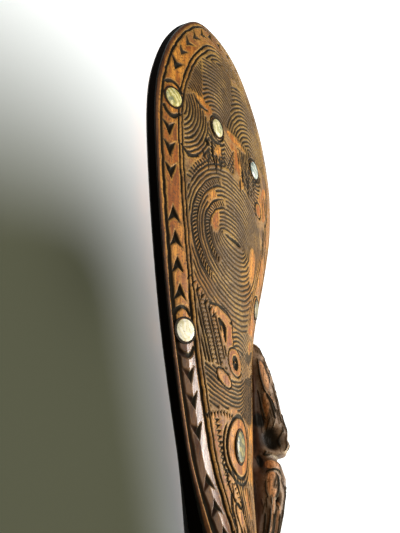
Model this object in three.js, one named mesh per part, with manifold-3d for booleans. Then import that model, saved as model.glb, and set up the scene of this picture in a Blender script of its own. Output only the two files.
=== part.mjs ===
// A carved hardwood hand club (wahaika) with shell inlays set in dark gum.
// Frame: millimetres, +Y from the butt to the tip, +Z out of the carved face, -X the long convex edge,
// +X the edge that carries the small figure. The club lies on its back, with z = 0 under it.
import * as THREE from "three";
import { mergeVertices } from "three/addons/utils/BufferGeometryUtils.js";
import Module from "manifold-3d";

const wasm = await Module();
wasm.setup();

// ---------------------------------------------------------------- driving dimensions
// Lengths along the club
const BLADE_LENGTH = 250;
const GRIP_LENGTH = 90;
const BUTT_LENGTH = 36;

// Widths across the club
const BLADE_WIDTH = 113.2;
const GRIP_WIDTH = 30;
const BUTT_WIDTH = 42;
const GRIP_OFFSET = 9.5; // the grip's centre line stands this far to the figure's side

// Thickness: a square edge all round, and a rise from it to the middle of each face
const BLADE_EDGE = 4.7;
const GRIP_EDGE = 8;
const BUTT_EDGE = 10;
const BLADE_RISE = 7.4;
const BLADE_RISE_REACH = 42; // distance in from the edge at which the face levels out
const BLADE_BACK_FLAT = 0.5; // how much of the back's rise is pared flat, which the club lies on
const GRIP_RISE = 7.5;
const BUTT_RISE = 8;

// Wrist-cord hole through the butt
const CORD_HOLE_DIAMETER = 9;
const CORD_HOLE_FROM_END = 40;

// Shell inlays and the gum that they are bedded in
const SHELL_THICKNESS = 1.3;
const SHELL_DOME = 0.5;
const GUM_WALL = 0.8;
const GUM_FLOOR = 0.8;
const FIT_GAP = 0.25; // clearance from shell to gum, and from gum to wood
const SHELL_PROUD = 0.2; // the shell's rim stands this far out of the wood

// Figure on the concave edge
const FIGURE_LENGTH = 104;
const FIGURE_REACH = 21; // how far it stands out past the blade's edge
const FIGURE_THICKNESS = 21;
const FIGURE_CLEARANCE = 0.4; // the figure stands this far clear of the table
const FIGURE_TOP_FROM_TIP = 143;

// Mesh density
const RIBS = 52;
const RIB_POINTS = 17;
const OUTLINE_SAMPLES = 420;

// ---------------------------------------------------------------- places along the club
const LENGTH = BLADE_LENGTH + GRIP_LENGTH + BUTT_LENGTH;
const TIP_Y = LENGTH / 2;
const BLADE_Y = TIP_Y - BLADE_LENGTH; // where the blade turns into the grip
const GRIP_Y = BLADE_Y - GRIP_LENGTH; // where the grip turns into the butt
const BUTT_Y = -TIP_Y;

// ---------------------------------------------------------------- outline in plan
// The blade's outline from the grip, up the convex edge, round the tip and down to the figure, each point
// as a share of the blade's length from the grip and of half its width from the middle.
const BLADE_OUTLINE = [
  [0.072, -0.304], [0.186, -0.502], [0.338, -0.714], [0.466, -0.845], [0.608, -0.95],
  [0.727, -0.998], [0.813, -0.938], [0.905, -0.737], [0.98, -0.413], [1, -0.053],
  [0.986, 0.314], [0.934, 0.631], [0.867, 0.853], [0.789, 0.979], [0.728, 1],
  [0.654, 0.958], [0.557, 0.811], [0.465, 0.641], [0.4, 0.565], [0.308, 0.539],
  [0.208, 0.53], [0.12, 0.495], [0.04, 0.424],
];
// Half of the grip and butt, from the butt's end: [share of the butt's length or the grip's length, half width]
const BUTT_HALF = [
  [0, 0], [0.055, (0.57 * BUTT_WIDTH) / 2], [0.28, (0.95 * BUTT_WIDTH) / 2], [0.61, BUTT_WIDTH / 2],
  [0.97, GRIP_WIDTH / 2 + 2.5],
];
const GRIP_HALF = [
  [0.13, GRIP_WIDTH / 2 + 0.4], [0.47, GRIP_WIDTH / 2], [0.78, GRIP_WIDTH / 2 + 0.2],
];

function outlineCurve() {
  const lower = [
    ...BUTT_HALF.map(([share, half]) => [half, BUTT_Y + share * BUTT_LENGTH]),
    ...GRIP_HALF.map(([share, half]) => [half, GRIP_Y + share * GRIP_LENGTH]),
  ];
  const left = lower.map(([half, y]) => new THREE.Vector2(GRIP_OFFSET - half, y));
  const right = lower.slice(1).map(([half, y]) => new THREE.Vector2(GRIP_OFFSET + half, y));
  const shoulder = new THREE.Vector2(GRIP_OFFSET - GRIP_WIDTH / 2 - 3.4, BLADE_Y);
  const blade = BLADE_OUTLINE.map(
    ([along, across]) =>
      new THREE.Vector2((across * BLADE_WIDTH) / 2, BLADE_Y + along * BLADE_LENGTH),
  );
  return [...left, shoulder, ...blade, ...right.reverse(), left[0]];
}

const outline = new THREE.SplineCurve(outlineCurve()).getPoints(OUTLINE_SAMPLES);
const tipIndex = outline.reduce((best, p, i) => (p.y > outline[best].y ? i : best), 0);
const leftEdge = outline.slice(0, tipIndex + 1);
const rightEdge = outline.slice(tipIndex).reverse();

function edgeX(side, y) {
  for (let i = 1; i < side.length; i++) {
    const a = side[i - 1];
    const b = side[i];
    if (y >= a.y && y <= b.y) return a.x + ((b.x - a.x) * (y - a.y)) / (b.y - a.y || 1);
  }
  return y < side[0].y ? side[0].x : side[side.length - 1].x;
}

function distanceToEdge(x, y) {
  let best = Infinity;
  for (let i = 1; i < outline.length; i++) {
    const a = outline[i - 1];
    const b = outline[i];
    const dx = b.x - a.x;
    const dy = b.y - a.y;
    const t = THREE.MathUtils.clamp(((x - a.x) * dx + (y - a.y) * dy) / (dx * dx + dy * dy || 1), 0, 1);
    best = Math.min(best, Math.hypot(x - a.x - t * dx, y - a.y - t * dy));
  }
  return best;
}

// ---------------------------------------------------------------- thickness
const { lerp, smoothstep } = THREE.MathUtils;

// 0 on the blade, 1 on the grip, with each quantity turning over its own stretch
const towardsGrip = (y, start, length) => 1 - smoothstep(y, BLADE_Y + start - length, BLADE_Y + start);
const towardsButt = (y) => 1 - smoothstep(y, GRIP_Y - 13, GRIP_Y + 7);

function edgeThickness(y) {
  const blade = lerp(BLADE_EDGE, GRIP_EDGE, towardsGrip(y, 52, 52));
  return lerp(blade, BUTT_EDGE, towardsButt(y));
}

const bladeMid = BLADE_EDGE / 2 + BLADE_RISE - BLADE_BACK_FLAT;
const gripMid = GRIP_EDGE / 2 + GRIP_RISE + 0.5; // the grip clears the table by half a millimetre
const buttMid = BUTT_EDGE / 2 + BUTT_RISE;
const figureMid = FIGURE_THICKNESS / 2 + FIGURE_CLEARANCE;

function midHeight(y) {
  return lerp(lerp(bladeMid, gripMid, towardsGrip(y, 22, 50)), buttMid, towardsButt(y));
}

function faceRise(x, y) {
  const d = distanceToEdge(x, y);
  const inBlade = Math.min(d / BLADE_RISE_REACH, 1);
  const butt = towardsButt(y);
  const inGrip = Math.min(d / lerp(GRIP_WIDTH / 2, BUTT_WIDTH / 2, butt), 1);
  const round = lerp(GRIP_RISE, BUTT_RISE, butt) * Math.sqrt(1 - (1 - inGrip) ** 2);
  return lerp(BLADE_RISE * (1 - (1 - inBlade) ** 2), round, towardsGrip(y, 47, 47));
}

const frontHeight = (x, y) => midHeight(y) + edgeThickness(y) / 2 + faceRise(x, y);
const backHeight = (x, y) => Math.max(0, midHeight(y) - edgeThickness(y) / 2 - faceRise(x, y));

// ---------------------------------------------------------------- solids
function toSolid(geometry) {
  const bare = geometry.clone();
  bare.deleteAttribute("normal");
  bare.deleteAttribute("uv");
  const merged = mergeVertices(bare, 1e-4);
  return new wasm.Manifold(
    new wasm.Mesh({
      numProp: 3,
      vertProperties: new Float32Array(merged.attributes.position.array),
      triVerts: new Uint32Array(merged.index.array),
    }),
  );
}

function toGeometry(solid) {
  const mesh = solid.getMesh();
  const geometry = new THREE.BufferGeometry();
  geometry.setAttribute("position", new THREE.BufferAttribute(new Float32Array(mesh.vertProperties), 3));
  geometry.setIndex(new THREE.BufferAttribute(new Uint32Array(mesh.triVerts), 1));
  geometry.computeVertexNormals();
  return geometry;
}

// The billet: closed ribs of front and back points from the butt to the tip, skinned one to the next.
function billetGeometry() {
  const positions = [];
  const ring = 2 * RIB_POINTS;
  for (let i = 0; i <= RIBS; i++) {
    const y = -TIP_Y * Math.cos((Math.PI * (i + 0.35)) / (RIBS + 0.7));
    const x0 = edgeX(leftEdge, y);
    const x1 = edgeX(rightEdge, y);
    const across = (k) => lerp(x0, x1, (1 - Math.cos((Math.PI * k) / (RIB_POINTS - 1))) / 2);
    for (let k = 0; k < RIB_POINTS; k++) positions.push(across(k), y, frontHeight(across(k), y));
    for (let k = RIB_POINTS - 1; k >= 0; k--) positions.push(across(k), y, backHeight(across(k), y));
  }
  const index = [];
  for (let i = 0; i < RIBS; i++) {
    for (let k = 0; k < ring; k++) {
      const a = i * ring + k;
      const b = i * ring + ((k + 1) % ring);
      index.push(a, b, a + ring, b, b + ring, a + ring);
    }
  }
  const last = RIBS * ring;
  for (let k = 1; k < ring - 1; k++) {
    index.push(0, k + 1, k);
    index.push(last, last + k, last + k + 1);
  }
  const geometry = new THREE.BufferGeometry();
  geometry.setAttribute("position", new THREE.Float32BufferAttribute(positions, 3));
  geometry.setIndex(index);
  return geometry;
}

// One rounded mass of the figure. Place is a share of the figure's length down from its top, of its reach
// out from the blade's edge, and of its thickness up from its middle.
function figureMass([down, out, up], [halfWidth, halfLength, halfThickness], turn = 0) {
  const y = TIP_Y - FIGURE_TOP_FROM_TIP - down * FIGURE_LENGTH;
  const geometry = new THREE.SphereGeometry(1, 16, 10);
  geometry.scale(halfWidth * FIGURE_REACH, halfLength * FIGURE_LENGTH, halfThickness * FIGURE_THICKNESS);
  geometry.rotateZ(turn);
  geometry.translate(edgeX(rightEdge, y) + out * FIGURE_REACH, y, figureMid + up * FIGURE_THICKNESS);
  return toSolid(geometry);
}

function figureSolid() {
  const spine = figureMass([0.5, 0.02, 0], [0.42, 0.52, 0.38]);
  const crown = figureMass([0.12, 0.16, 0.02], [0.44, 0.13, 0.42], 0.25);
  const face = figureMass([0.27, 0.34, 0.04], [0.56, 0.15, 0.44], 0.3);
  const chin = figureMass([0.37, 0.6, 0.08], [0.4, 0.08, 0.34], 0.5);
  const chest = figureMass([0.53, 0.4, 0.02], [0.5, 0.12, 0.44], -0.1);
  const knees = figureMass([0.68, 0.4, 0.03], [0.46, 0.13, 0.42], -0.25);
  const feet = figureMass([0.86, 0.14, 0.0], [0.42, 0.14, 0.4], -0.2);
  const mouth = figureMass([0.43, 0.3, 0.46], [0.3, 0.035, 0.2]);
  return spine.add(crown).add(face).add(chin).add(chest).add(knees).add(feet).subtract(mouth);
}

// ---------------------------------------------------------------- shells
// Each shell: name, place as a share of the blade (along, across), radii in mm along its own long and short
// axes, and the turn of its long axis from +X.
const BLADE_SHELLS = [
  { name: "border_upper", along: 0.758, across: -0.829, long: 4.6, short: 4.2, turn: 0.4 },
  { name: "border_lower", along: 0.365, across: -0.613, long: 4.8, short: 4.4, turn: 0.4 },
  { name: "border_figure_side", along: 0.488, across: 0.58, long: 4.4, short: 4.0, turn: 0.9 },
  { name: "mask_left_eye", along: 0.76, across: -0.279, long: 4.4, short: 4.0, turn: 0.2 },
  { name: "mask_right_eye", along: 0.75, across: 0.398, long: 4.4, short: 4.0, turn: -0.2 },
  { name: "profile_head_eye", along: 0.213, across: 0.09, long: 6.3, short: 5.0, turn: 1.45 },
];
const BUTT_EYE_FROM_END = 20;
const BUTT_EYE_SPACING = 17;
const BUTT_EYE_RADIUS = 3.2;

function shellSeats() {
  const onBlade = BLADE_SHELLS.map((s) => ({
    ...s,
    x: (s.across * BLADE_WIDTH) / 2,
    y: BLADE_Y + s.along * BLADE_LENGTH,
  }));
  const onButt = [-1, 1].map((side) => ({
    name: side < 0 ? "butt_left_eye" : "butt_right_eye",
    x: GRIP_OFFSET + (side * BUTT_EYE_SPACING) / 2,
    y: BUTT_Y + BUTT_EYE_FROM_END,
    long: BUTT_EYE_RADIUS,
    short: BUTT_EYE_RADIUS,
    turn: 0,
  }));
  return [...onBlade, ...onButt];
}

// Turns a lathe's +Y axis onto the face's normal at the seat, with the shell's long axis along the face.
function seatMatrix({ x, y, turn }) {
  const step = 0.5;
  const slopeX = (frontHeight(x + step, y) - frontHeight(x - step, y)) / (2 * step);
  const slopeY = (frontHeight(x, y + step) - frontHeight(x, y - step)) / (2 * step);
  const normal = new THREE.Vector3(-slopeX, -slopeY, 1).normalize();
  const long = new THREE.Vector3(Math.cos(turn), Math.sin(turn), 0);
  long.addScaledVector(normal, -long.dot(normal)).normalize();
  const short = new THREE.Vector3().crossVectors(long, normal);
  return new THREE.Matrix4()
    .makeBasis(long, normal, short)
    .setPosition(x, y, frontHeight(x, y));
}

// A lathe of [radius beyond the shell's own, height] points, stretched to the shell's two radii.
function seatLathe(seat, profile, segments) {
  const radius = seat.short;
  const points = profile.map(([beyond, height]) => new THREE.Vector2(beyond === null ? 0 : radius + beyond, height));
  const geometry = new THREE.LatheGeometry(points, segments);
  const stretch = (seat.long - seat.short) / radius;
  geometry.scale(1 + stretch, 1, 1);
  return geometry.applyMatrix4(seatMatrix(seat));
}

const AXIS = null; // marks a profile point that lies on the axis
const shellBottom = SHELL_PROUD - SHELL_THICKNESS;
const gumTop = 0.05;
const gumBottom = shellBottom - FIT_GAP - GUM_FLOOR;
const SHELL_SEGMENTS = 20;

const shellProfile = [
  [AXIS, shellBottom], [0, shellBottom], [0, SHELL_PROUD], [-1.2, SHELL_PROUD + 0.75 * SHELL_DOME],
  [AXIS, SHELL_PROUD + SHELL_DOME],
];
const gumProfile = [
  [AXIS, gumBottom], [FIT_GAP + GUM_WALL, gumBottom], [FIT_GAP + GUM_WALL, gumTop], [FIT_GAP, gumTop],
  [FIT_GAP, shellBottom - FIT_GAP], [AXIS, shellBottom - FIT_GAP],
];
const socketProfile = [
  [AXIS, gumBottom - FIT_GAP], [2 * FIT_GAP + GUM_WALL, gumBottom - FIT_GAP],
  [2 * FIT_GAP + GUM_WALL, 4], [AXIS, 4],
];

// ---------------------------------------------------------------- materials
const carvedWood = new THREE.MeshStandardMaterial({ color: "#8a5428", roughness: 0.5, metalness: 0 });
const shellMaterial = new THREE.MeshStandardMaterial({ color: "#cdd3ae", roughness: 0.25, metalness: 0 });
const gumMaterial = new THREE.MeshStandardMaterial({ color: "#1d1712", roughness: 0.6, metalness: 0 });

function named(name, geometry, material) {
  const mesh = new THREE.Mesh(geometry, material);
  mesh.name = name;
  return mesh;
}

// ---------------------------------------------------------------- assembly
const club = new THREE.Group();
club.name = "hand_club";

let wood = toSolid(billetGeometry()).add(figureSolid());

const cordHole = new THREE.CylinderGeometry(CORD_HOLE_DIAMETER / 2, CORD_HOLE_DIAMETER / 2, 60, 24);
cordHole.rotateX(Math.PI / 2);
cordHole.translate(GRIP_OFFSET, BUTT_Y + CORD_HOLE_FROM_END, buttMid);
wood = wood.subtract(toSolid(cordHole));

for (const seat of shellSeats()) {
  wood = wood.subtract(toSolid(seatLathe(seat, socketProfile, SHELL_SEGMENTS)));
  club.add(named(`${seat.name}_gum`, toGeometry(toSolid(seatLathe(seat, gumProfile, SHELL_SEGMENTS))), gumMaterial));
  club.add(named(`${seat.name}_shell`, toGeometry(toSolid(seatLathe(seat, shellProfile, SHELL_SEGMENTS))), shellMaterial));
}

club.add(named("club_body", toGeometry(wood), carvedWood));

export default club;
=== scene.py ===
import math

import bmesh
import bpy
import numpy as np
from mathutils import Matrix, Vector


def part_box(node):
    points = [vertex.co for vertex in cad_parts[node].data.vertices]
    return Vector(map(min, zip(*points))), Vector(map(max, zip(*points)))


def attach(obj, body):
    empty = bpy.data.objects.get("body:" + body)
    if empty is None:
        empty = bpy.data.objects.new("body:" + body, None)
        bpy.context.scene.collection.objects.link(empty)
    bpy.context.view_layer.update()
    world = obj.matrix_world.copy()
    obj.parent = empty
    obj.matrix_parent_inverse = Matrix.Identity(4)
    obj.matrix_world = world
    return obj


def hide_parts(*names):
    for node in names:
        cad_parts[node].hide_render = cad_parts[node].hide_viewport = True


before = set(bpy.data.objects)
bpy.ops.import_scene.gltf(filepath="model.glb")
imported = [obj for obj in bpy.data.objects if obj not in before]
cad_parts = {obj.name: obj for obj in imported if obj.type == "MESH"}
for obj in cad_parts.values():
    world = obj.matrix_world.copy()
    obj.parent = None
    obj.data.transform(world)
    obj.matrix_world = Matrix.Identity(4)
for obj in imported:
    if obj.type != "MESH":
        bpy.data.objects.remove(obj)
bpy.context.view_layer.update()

# ---------------------------------------------------------------- the billet
# One plank of dense hardwood, adzed to a broad blade, an oval grip and a swelling butt. Both faces of the
# blade rise from a square edge to the middle. Everything carved later is cut down from this form.
MM = 0.001
CLEARANCE = 0.1  # keeps the wood just inside the billet's box
body_low, body_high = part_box("club_body")
TIP_Y = body_high.y / MM
BUTT_Y = body_low.y / MM
HALF_WIDTH = (body_high.x - body_low.x) / 2 / MM - CLEARANCE
BLADE_LENGTH = 250.0
BUTT_LENGTH = 36.0
BLADE_Y = TIP_Y - BLADE_LENGTH  # where the blade turns into the grip
GRIP_Y = BUTT_Y + BUTT_LENGTH  # where the grip turns into the butt
GRIP_X = 9.5  # the grip's centre line stands this far to the figure's side
GRIP_HALF = 15.0
BUTT_HALF = 21.0
BLADE_EDGE, GRIP_EDGE, BUTT_EDGE = 4.7, 8.0, 10.0
BLADE_RISE, GRIP_RISE, BUTT_RISE = 7.4, 7.5, 8.0
RISE_REACH = 42.0  # distance in from the edge at which the blade levels out
BACK_FLAT = 0.5  # the back is pared flat this deep, so that the club lies still
ARRIS_RADIUS = 0.7  # wear on the square edge

# Each point as a share of the blade's length from the grip and of half its width from the middle
BLADE_OUTLINE = [
    (0.072, -0.304), (0.186, -0.502), (0.338, -0.714), (0.466, -0.845), (0.608, -0.95),
    (0.727, -0.998), (0.813, -0.938), (0.905, -0.737), (0.98, -0.413), (1, -0.053),
    (0.986, 0.314), (0.934, 0.631), (0.867, 0.853), (0.789, 0.979), (0.728, 1),
    (0.654, 0.958), (0.557, 0.811), (0.465, 0.641), (0.4, 0.565), (0.308, 0.539),
    (0.208, 0.53), (0.12, 0.495), (0.04, 0.424),
]
# Half widths of the butt and the grip, at distances up from the butt's end
HANDLE_OUTLINE = [
    (0.0, 0.0), (2.0, 12.0), (10.0, 20.0), (22.0, BUTT_HALF), (35.0, 17.5),
    (48.0, 15.4), (78.0, GRIP_HALF), (106.0, 15.2),
]


def spline(points, per_span=60):
    """A closed smooth curve through points, as a dense list of points."""
    p = np.array(points, float)
    before, after, beyond = np.roll(p, 1, 0), np.roll(p, -1, 0), np.roll(p, -2, 0)
    t = (np.arange(per_span) / per_span)[:, None, None]
    v0, v1 = (after - before) / 2, (beyond - p) / 2
    curve = (2 * p - 2 * after + v0 + v1) * t**3 + (3 * after - 3 * p - 2 * v0 - v1) * t**2 + v0 * t + p
    return curve.transpose(1, 0, 2).reshape(-1, 2)


left_side = [(GRIP_X - half, BUTT_Y + up) for up, half in HANDLE_OUTLINE]
right_side = [(GRIP_X + half, BUTT_Y + up) for up, half in HANDLE_OUTLINE[1:]]
shoulder = [(GRIP_X - GRIP_HALF - 3.4, BLADE_Y)]
blade_side = [
    (across * HALF_WIDTH, BLADE_Y + along * (BLADE_LENGTH - CLEARANCE)) for along, across in BLADE_OUTLINE
]
outline = spline(left_side + shoulder + blade_side + right_side[::-1])
tip_index = int(np.argmax(outline[:, 1]))
left_edge, right_edge = outline[: tip_index + 1], outline[tip_index:][::-1]


def edge_x(side, y):
    """Where one side of the outline lies at a height y up the club."""
    return np.interp(y, side[:, 1], side[:, 0])


def ease(low, high, value):
    """0 below low, 1 above high and a smooth step between."""
    t = np.clip((value - low) / (high - low), 0, 1)
    return t * t * (3 - 2 * t)


# Signed distance in from the edge, on a grid one millimetre wide
grid_x = np.arange(-60.0, 61.0)
grid_y = np.arange(math.floor(BUTT_Y) - 2.0, TIP_Y + 3.0)
flat_x, flat_y = (a.ravel() for a in np.meshgrid(grid_x, grid_y, indexing="ij"))
nearest = np.full(flat_x.shape, 1e9, np.float32)
for point in outline:
    np.minimum(nearest, (flat_x - point[0]) ** 2 + (flat_y - point[1]) ** 2, out=nearest)
inside = (flat_x > edge_x(left_edge, flat_y)) & (flat_x < edge_x(right_edge, flat_y))
inside &= (flat_y > BUTT_Y) & (flat_y < TIP_Y)
edge_grid = (np.sqrt(nearest) * np.where(inside, 1, -1)).reshape(len(grid_x), len(grid_y))


def on_grid(values, x, y):
    """values, known on the millimetre grid, at any place."""
    fx = np.clip(x - grid_x[0], 0, len(grid_x) - 1.001)
    fy = np.clip(y - grid_y[0], 0, len(grid_y) - 1.001)
    i, j = fx.astype(int), fy.astype(int)
    tx, ty = fx - i, fy - j
    low = values[i, j] * (1 - ty) + values[i, j + 1] * ty
    high = values[i + 1, j] * (1 - ty) + values[i + 1, j + 1] * ty
    return low * (1 - tx) + high * tx


def butt_share(y):
    """1 on the butt and 0 on the grip above it."""
    return 1 - ease(GRIP_Y - 13, GRIP_Y + 7, y)


def plain_rise(distance, y):
    """How far a face stands above its edge, before the middle ridge is eased off."""
    grip, butt = 1 - ease(BLADE_Y, BLADE_Y + 47, y), butt_share(y)
    blade = BLADE_RISE * (1 - (1 - np.clip(distance / RISE_REACH, 0, 1)) ** 2)
    share = np.clip(distance / (GRIP_HALF + (BUTT_HALF - GRIP_HALF) * butt), 0, 1)
    oval = (GRIP_RISE + (BUTT_RISE - GRIP_RISE) * butt) * np.sqrt(1 - (1 - share) ** 2)
    return blade * (1 - grip) + oval * grip


def blurred(values, reach):
    """values with each place averaged with its neighbours along both ways of the grid."""
    weights = np.exp(-0.5 * (np.arange(-3 * reach, 3 * reach + 1) / reach) ** 2)
    weights /= weights.sum()
    for axis in (0, 1):
        values = np.apply_along_axis(lambda row: np.convolve(row, weights, "same"), axis, values)
    return values


eased_rise = blurred(plain_rise(edge_grid.ravel(), flat_y).reshape(edge_grid.shape), 4)


def face_rise(x, y):
    """How far a face stands above its edge, with the blade's middle ridge eased off."""
    distance = on_grid(edge_grid, x, y)
    inner = ease(7, 15, distance) * ease(BLADE_Y, BLADE_Y + 20, y)
    return plain_rise(distance, y) * (1 - inner) + on_grid(eased_rise, x, y) * inner


def edge_thickness(y):
    """Height of the square edge."""
    grip, butt = 1 - ease(BLADE_Y, BLADE_Y + 52, y), butt_share(y)
    blade = BLADE_EDGE + (GRIP_EDGE - BLADE_EDGE) * grip
    return blade * (1 - butt) + BUTT_EDGE * butt


def middle_height(y):
    """Height of the middle of the plank above the surface it lies on."""
    grip, butt = 1 - ease(BLADE_Y - 28, BLADE_Y + 22, y), butt_share(y)
    blade_middle = BLADE_EDGE / 2 + BLADE_RISE - BACK_FLAT
    grip_middle = GRIP_EDGE / 2 + GRIP_RISE + 0.5
    butt_middle = BUTT_EDGE / 2 + BUTT_RISE
    handle = blade_middle * (1 - grip) + grip_middle * grip
    return handle * (1 - butt) + butt_middle * butt


def exact_distance(x, y):
    """Distance to the outline itself, measured to its nearest short span."""
    best = np.full(x.shape, 1e9)
    for start, end in zip(outline[:-1], outline[1:]):
        span = end - start
        share = ((x - start[0]) * span[0] + (y - start[1]) * span[1]) / (span @ span)
        share = np.clip(share, 0, 1)
        gap = (x - start[0] - share * span[0]) ** 2 + (y - start[1] - share * span[1]) ** 2
        np.minimum(best, gap, out=best)
    return np.sqrt(best)


def worn_arris(x, y):
    """How far the rounding of the worn edge takes a face down."""
    coarse = on_grid(edge_grid, x, y)
    near = coarse < 1.6
    distance = np.full(x.shape, ARRIS_RADIUS)
    distance[near] = exact_distance(x[near], y[near])
    short = np.clip(ARRIS_RADIUS - distance, 0, ARRIS_RADIUS)
    return ARRIS_RADIUS - np.sqrt(ARRIS_RADIUS**2 - short**2)


def band_facets(x, y):
    """How far the lower band falls away on both sides of the ridge along its middle."""
    distance = on_grid(edge_grid, x, y)
    off_ridge = np.clip(np.abs(distance - 6.9), 0, 5)
    fade = (1 - ease(30, 60, y)) * ease(BLADE_Y, BLADE_Y + 20, y) * (x < 5)
    return 0.17 * off_ridge * fade * (1 - ease(11.5, 14, distance)) * ease(1.0, 2.5, distance)


def front_height(x, y):
    """Height of the front face, worn at its edge, before any carving."""
    plain_height = middle_height(y) + edge_thickness(y) / 2 + face_rise(x, y)
    return plain_height - worn_arris(x, y) - band_facets(x, y)


def back_height(x, y):
    """Height of the back face, pared flat where it would pass below the table."""
    return np.maximum(0.05, middle_height(y) - edge_thickness(y) / 2 - face_rise(x, y) + worn_arris(x, y))


def rib_places(rows, across_count):
    """Places across each rib, close together at the two edges, where the worn arris turns."""
    x0, x1 = edge_x(left_edge, rows), edge_x(right_edge, rows)
    width = (x1 - x0)[:, None]
    close = np.array([0, 0.06, 0.2, 0.42, 0.7])[None, :] * np.minimum(1, width / 6)
    share = np.linspace(0, 1, across_count + 2)[None, 1:-1]
    middle = close[:, -1:] + (width - 2 * close[:, -1:]) * share
    places = np.concatenate([close, middle, width - close[:, ::-1]], 1)
    return x0[:, None] + places


def skin(ribs, closed):
    """Vertices and faces of a surface skinned over ribs of equal point counts."""
    rows, count = ribs.shape[:2]
    k = np.arange(count if closed else count - 1)
    a = (np.arange(rows - 1)[:, None] * count + k[None, :]).ravel()
    b = (np.arange(rows - 1)[:, None] * count + (k[None, :] + 1) % count).ravel()
    return ribs.reshape(-1, 3), np.stack([a, b, b + count, a + count], 1)


def front_ribs(rows, across_count):
    x = rib_places(rows, across_count)
    y = np.repeat(rows[:, None], x.shape[1], 1)
    return np.stack([x, y, front_height(x, y)], 2)


def back_ribs(rows, across_count):
    x = rib_places(rows, across_count)[:, ::-1]
    y = np.repeat(rows[:, None], x.shape[1], 1)
    return np.stack([x, y, back_height(x, y)], 2)


SEAM_Y = BLADE_Y + 2  # the blade's mesh ends here and the grip's starts
ROW_STEP = 0.37
ACROSS = 250
straight_rows = np.arange(SEAM_Y, TIP_Y - 4, ROW_STEP)
tip_rows = TIP_Y - 4 * (1 - np.sin(np.linspace(0, math.pi / 2, 34))) - 0.01
blade_rows = np.concatenate([straight_rows, tip_rows])
handle_rows = np.concatenate([
    BUTT_Y + 0.01 + 3 * (1 - np.cos(np.linspace(0, math.pi / 2, 24))),
    np.linspace(BUTT_Y + 3.5, SEAM_Y, 170),
])


def mesh_object(name, vertices, faces, attributes=None, drawing=None):
    """A linked object of a mesh given in millimetres, with float attributes on its points."""
    mesh = bpy.data.meshes.new(name)
    mesh.vertices.add(len(vertices))
    mesh.vertices.foreach_set("co", (np.asarray(vertices, np.float32) * MM).ravel())
    faces = np.asarray(faces, np.int32)
    mesh.loops.add(faces.size)
    mesh.loops.foreach_set("vertex_index", faces.ravel())
    mesh.polygons.add(len(faces))
    mesh.polygons.foreach_set("loop_start", np.arange(0, faces.size, faces.shape[1], dtype=np.int32))
    mesh.polygons.foreach_set("use_smooth", np.ones(len(faces), bool))
    for key, values in (attributes or {}).items():
        mesh.attributes.new(key, "FLOAT", "POINT").data.foreach_set("value", np.asarray(values, np.float32))
    if drawing is not None:
        flat = np.asarray(drawing, np.float32) * MM
        mesh.attributes.new("drawing", "FLOAT_VECTOR", "POINT").data.foreach_set("vector", flat.ravel())
    mesh.update()
    mesh.validate()
    piece = bpy.data.objects.new(name, mesh)
    bpy.context.scene.collection.objects.link(piece)
    return piece


# ---------------------------------------------------------------- the chisel
# Grooves, notches and chips are cut with small straight and bent chisels that follow drawn lines. Each line
# is a path in plan. The tree below sinks the wood under it in a rounded V and marks how deep the cut is.
def add_node(tree, kind, inputs=None, **settings):
    """One node of a tree, with its settings, and its inputs set or linked by name or number."""
    made = tree.nodes.new(kind)
    for key, value in settings.items():
        setattr(made, key, value)
    for key, value in (inputs or {}).items():
        if isinstance(value, bpy.types.NodeSocket):
            tree.links.new(value, made.inputs[key])
        else:
            made.inputs[key].default_value = value
    return made


def worked_out(tree, formula):
    """What a formula gives. It is (operation, value, value), and a value may be a formula itself."""
    if not isinstance(formula, tuple):
        return formula
    operation, *values = formula
    inputs = {place: worked_out(tree, value) for place, value in enumerate(values)}
    return add_node(tree, "ShaderNodeMath", inputs, operation=operation).outputs[0]


WANDERS_PER_MM = 0.19  # the hand strays from its line and back every 5 mm or so


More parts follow.
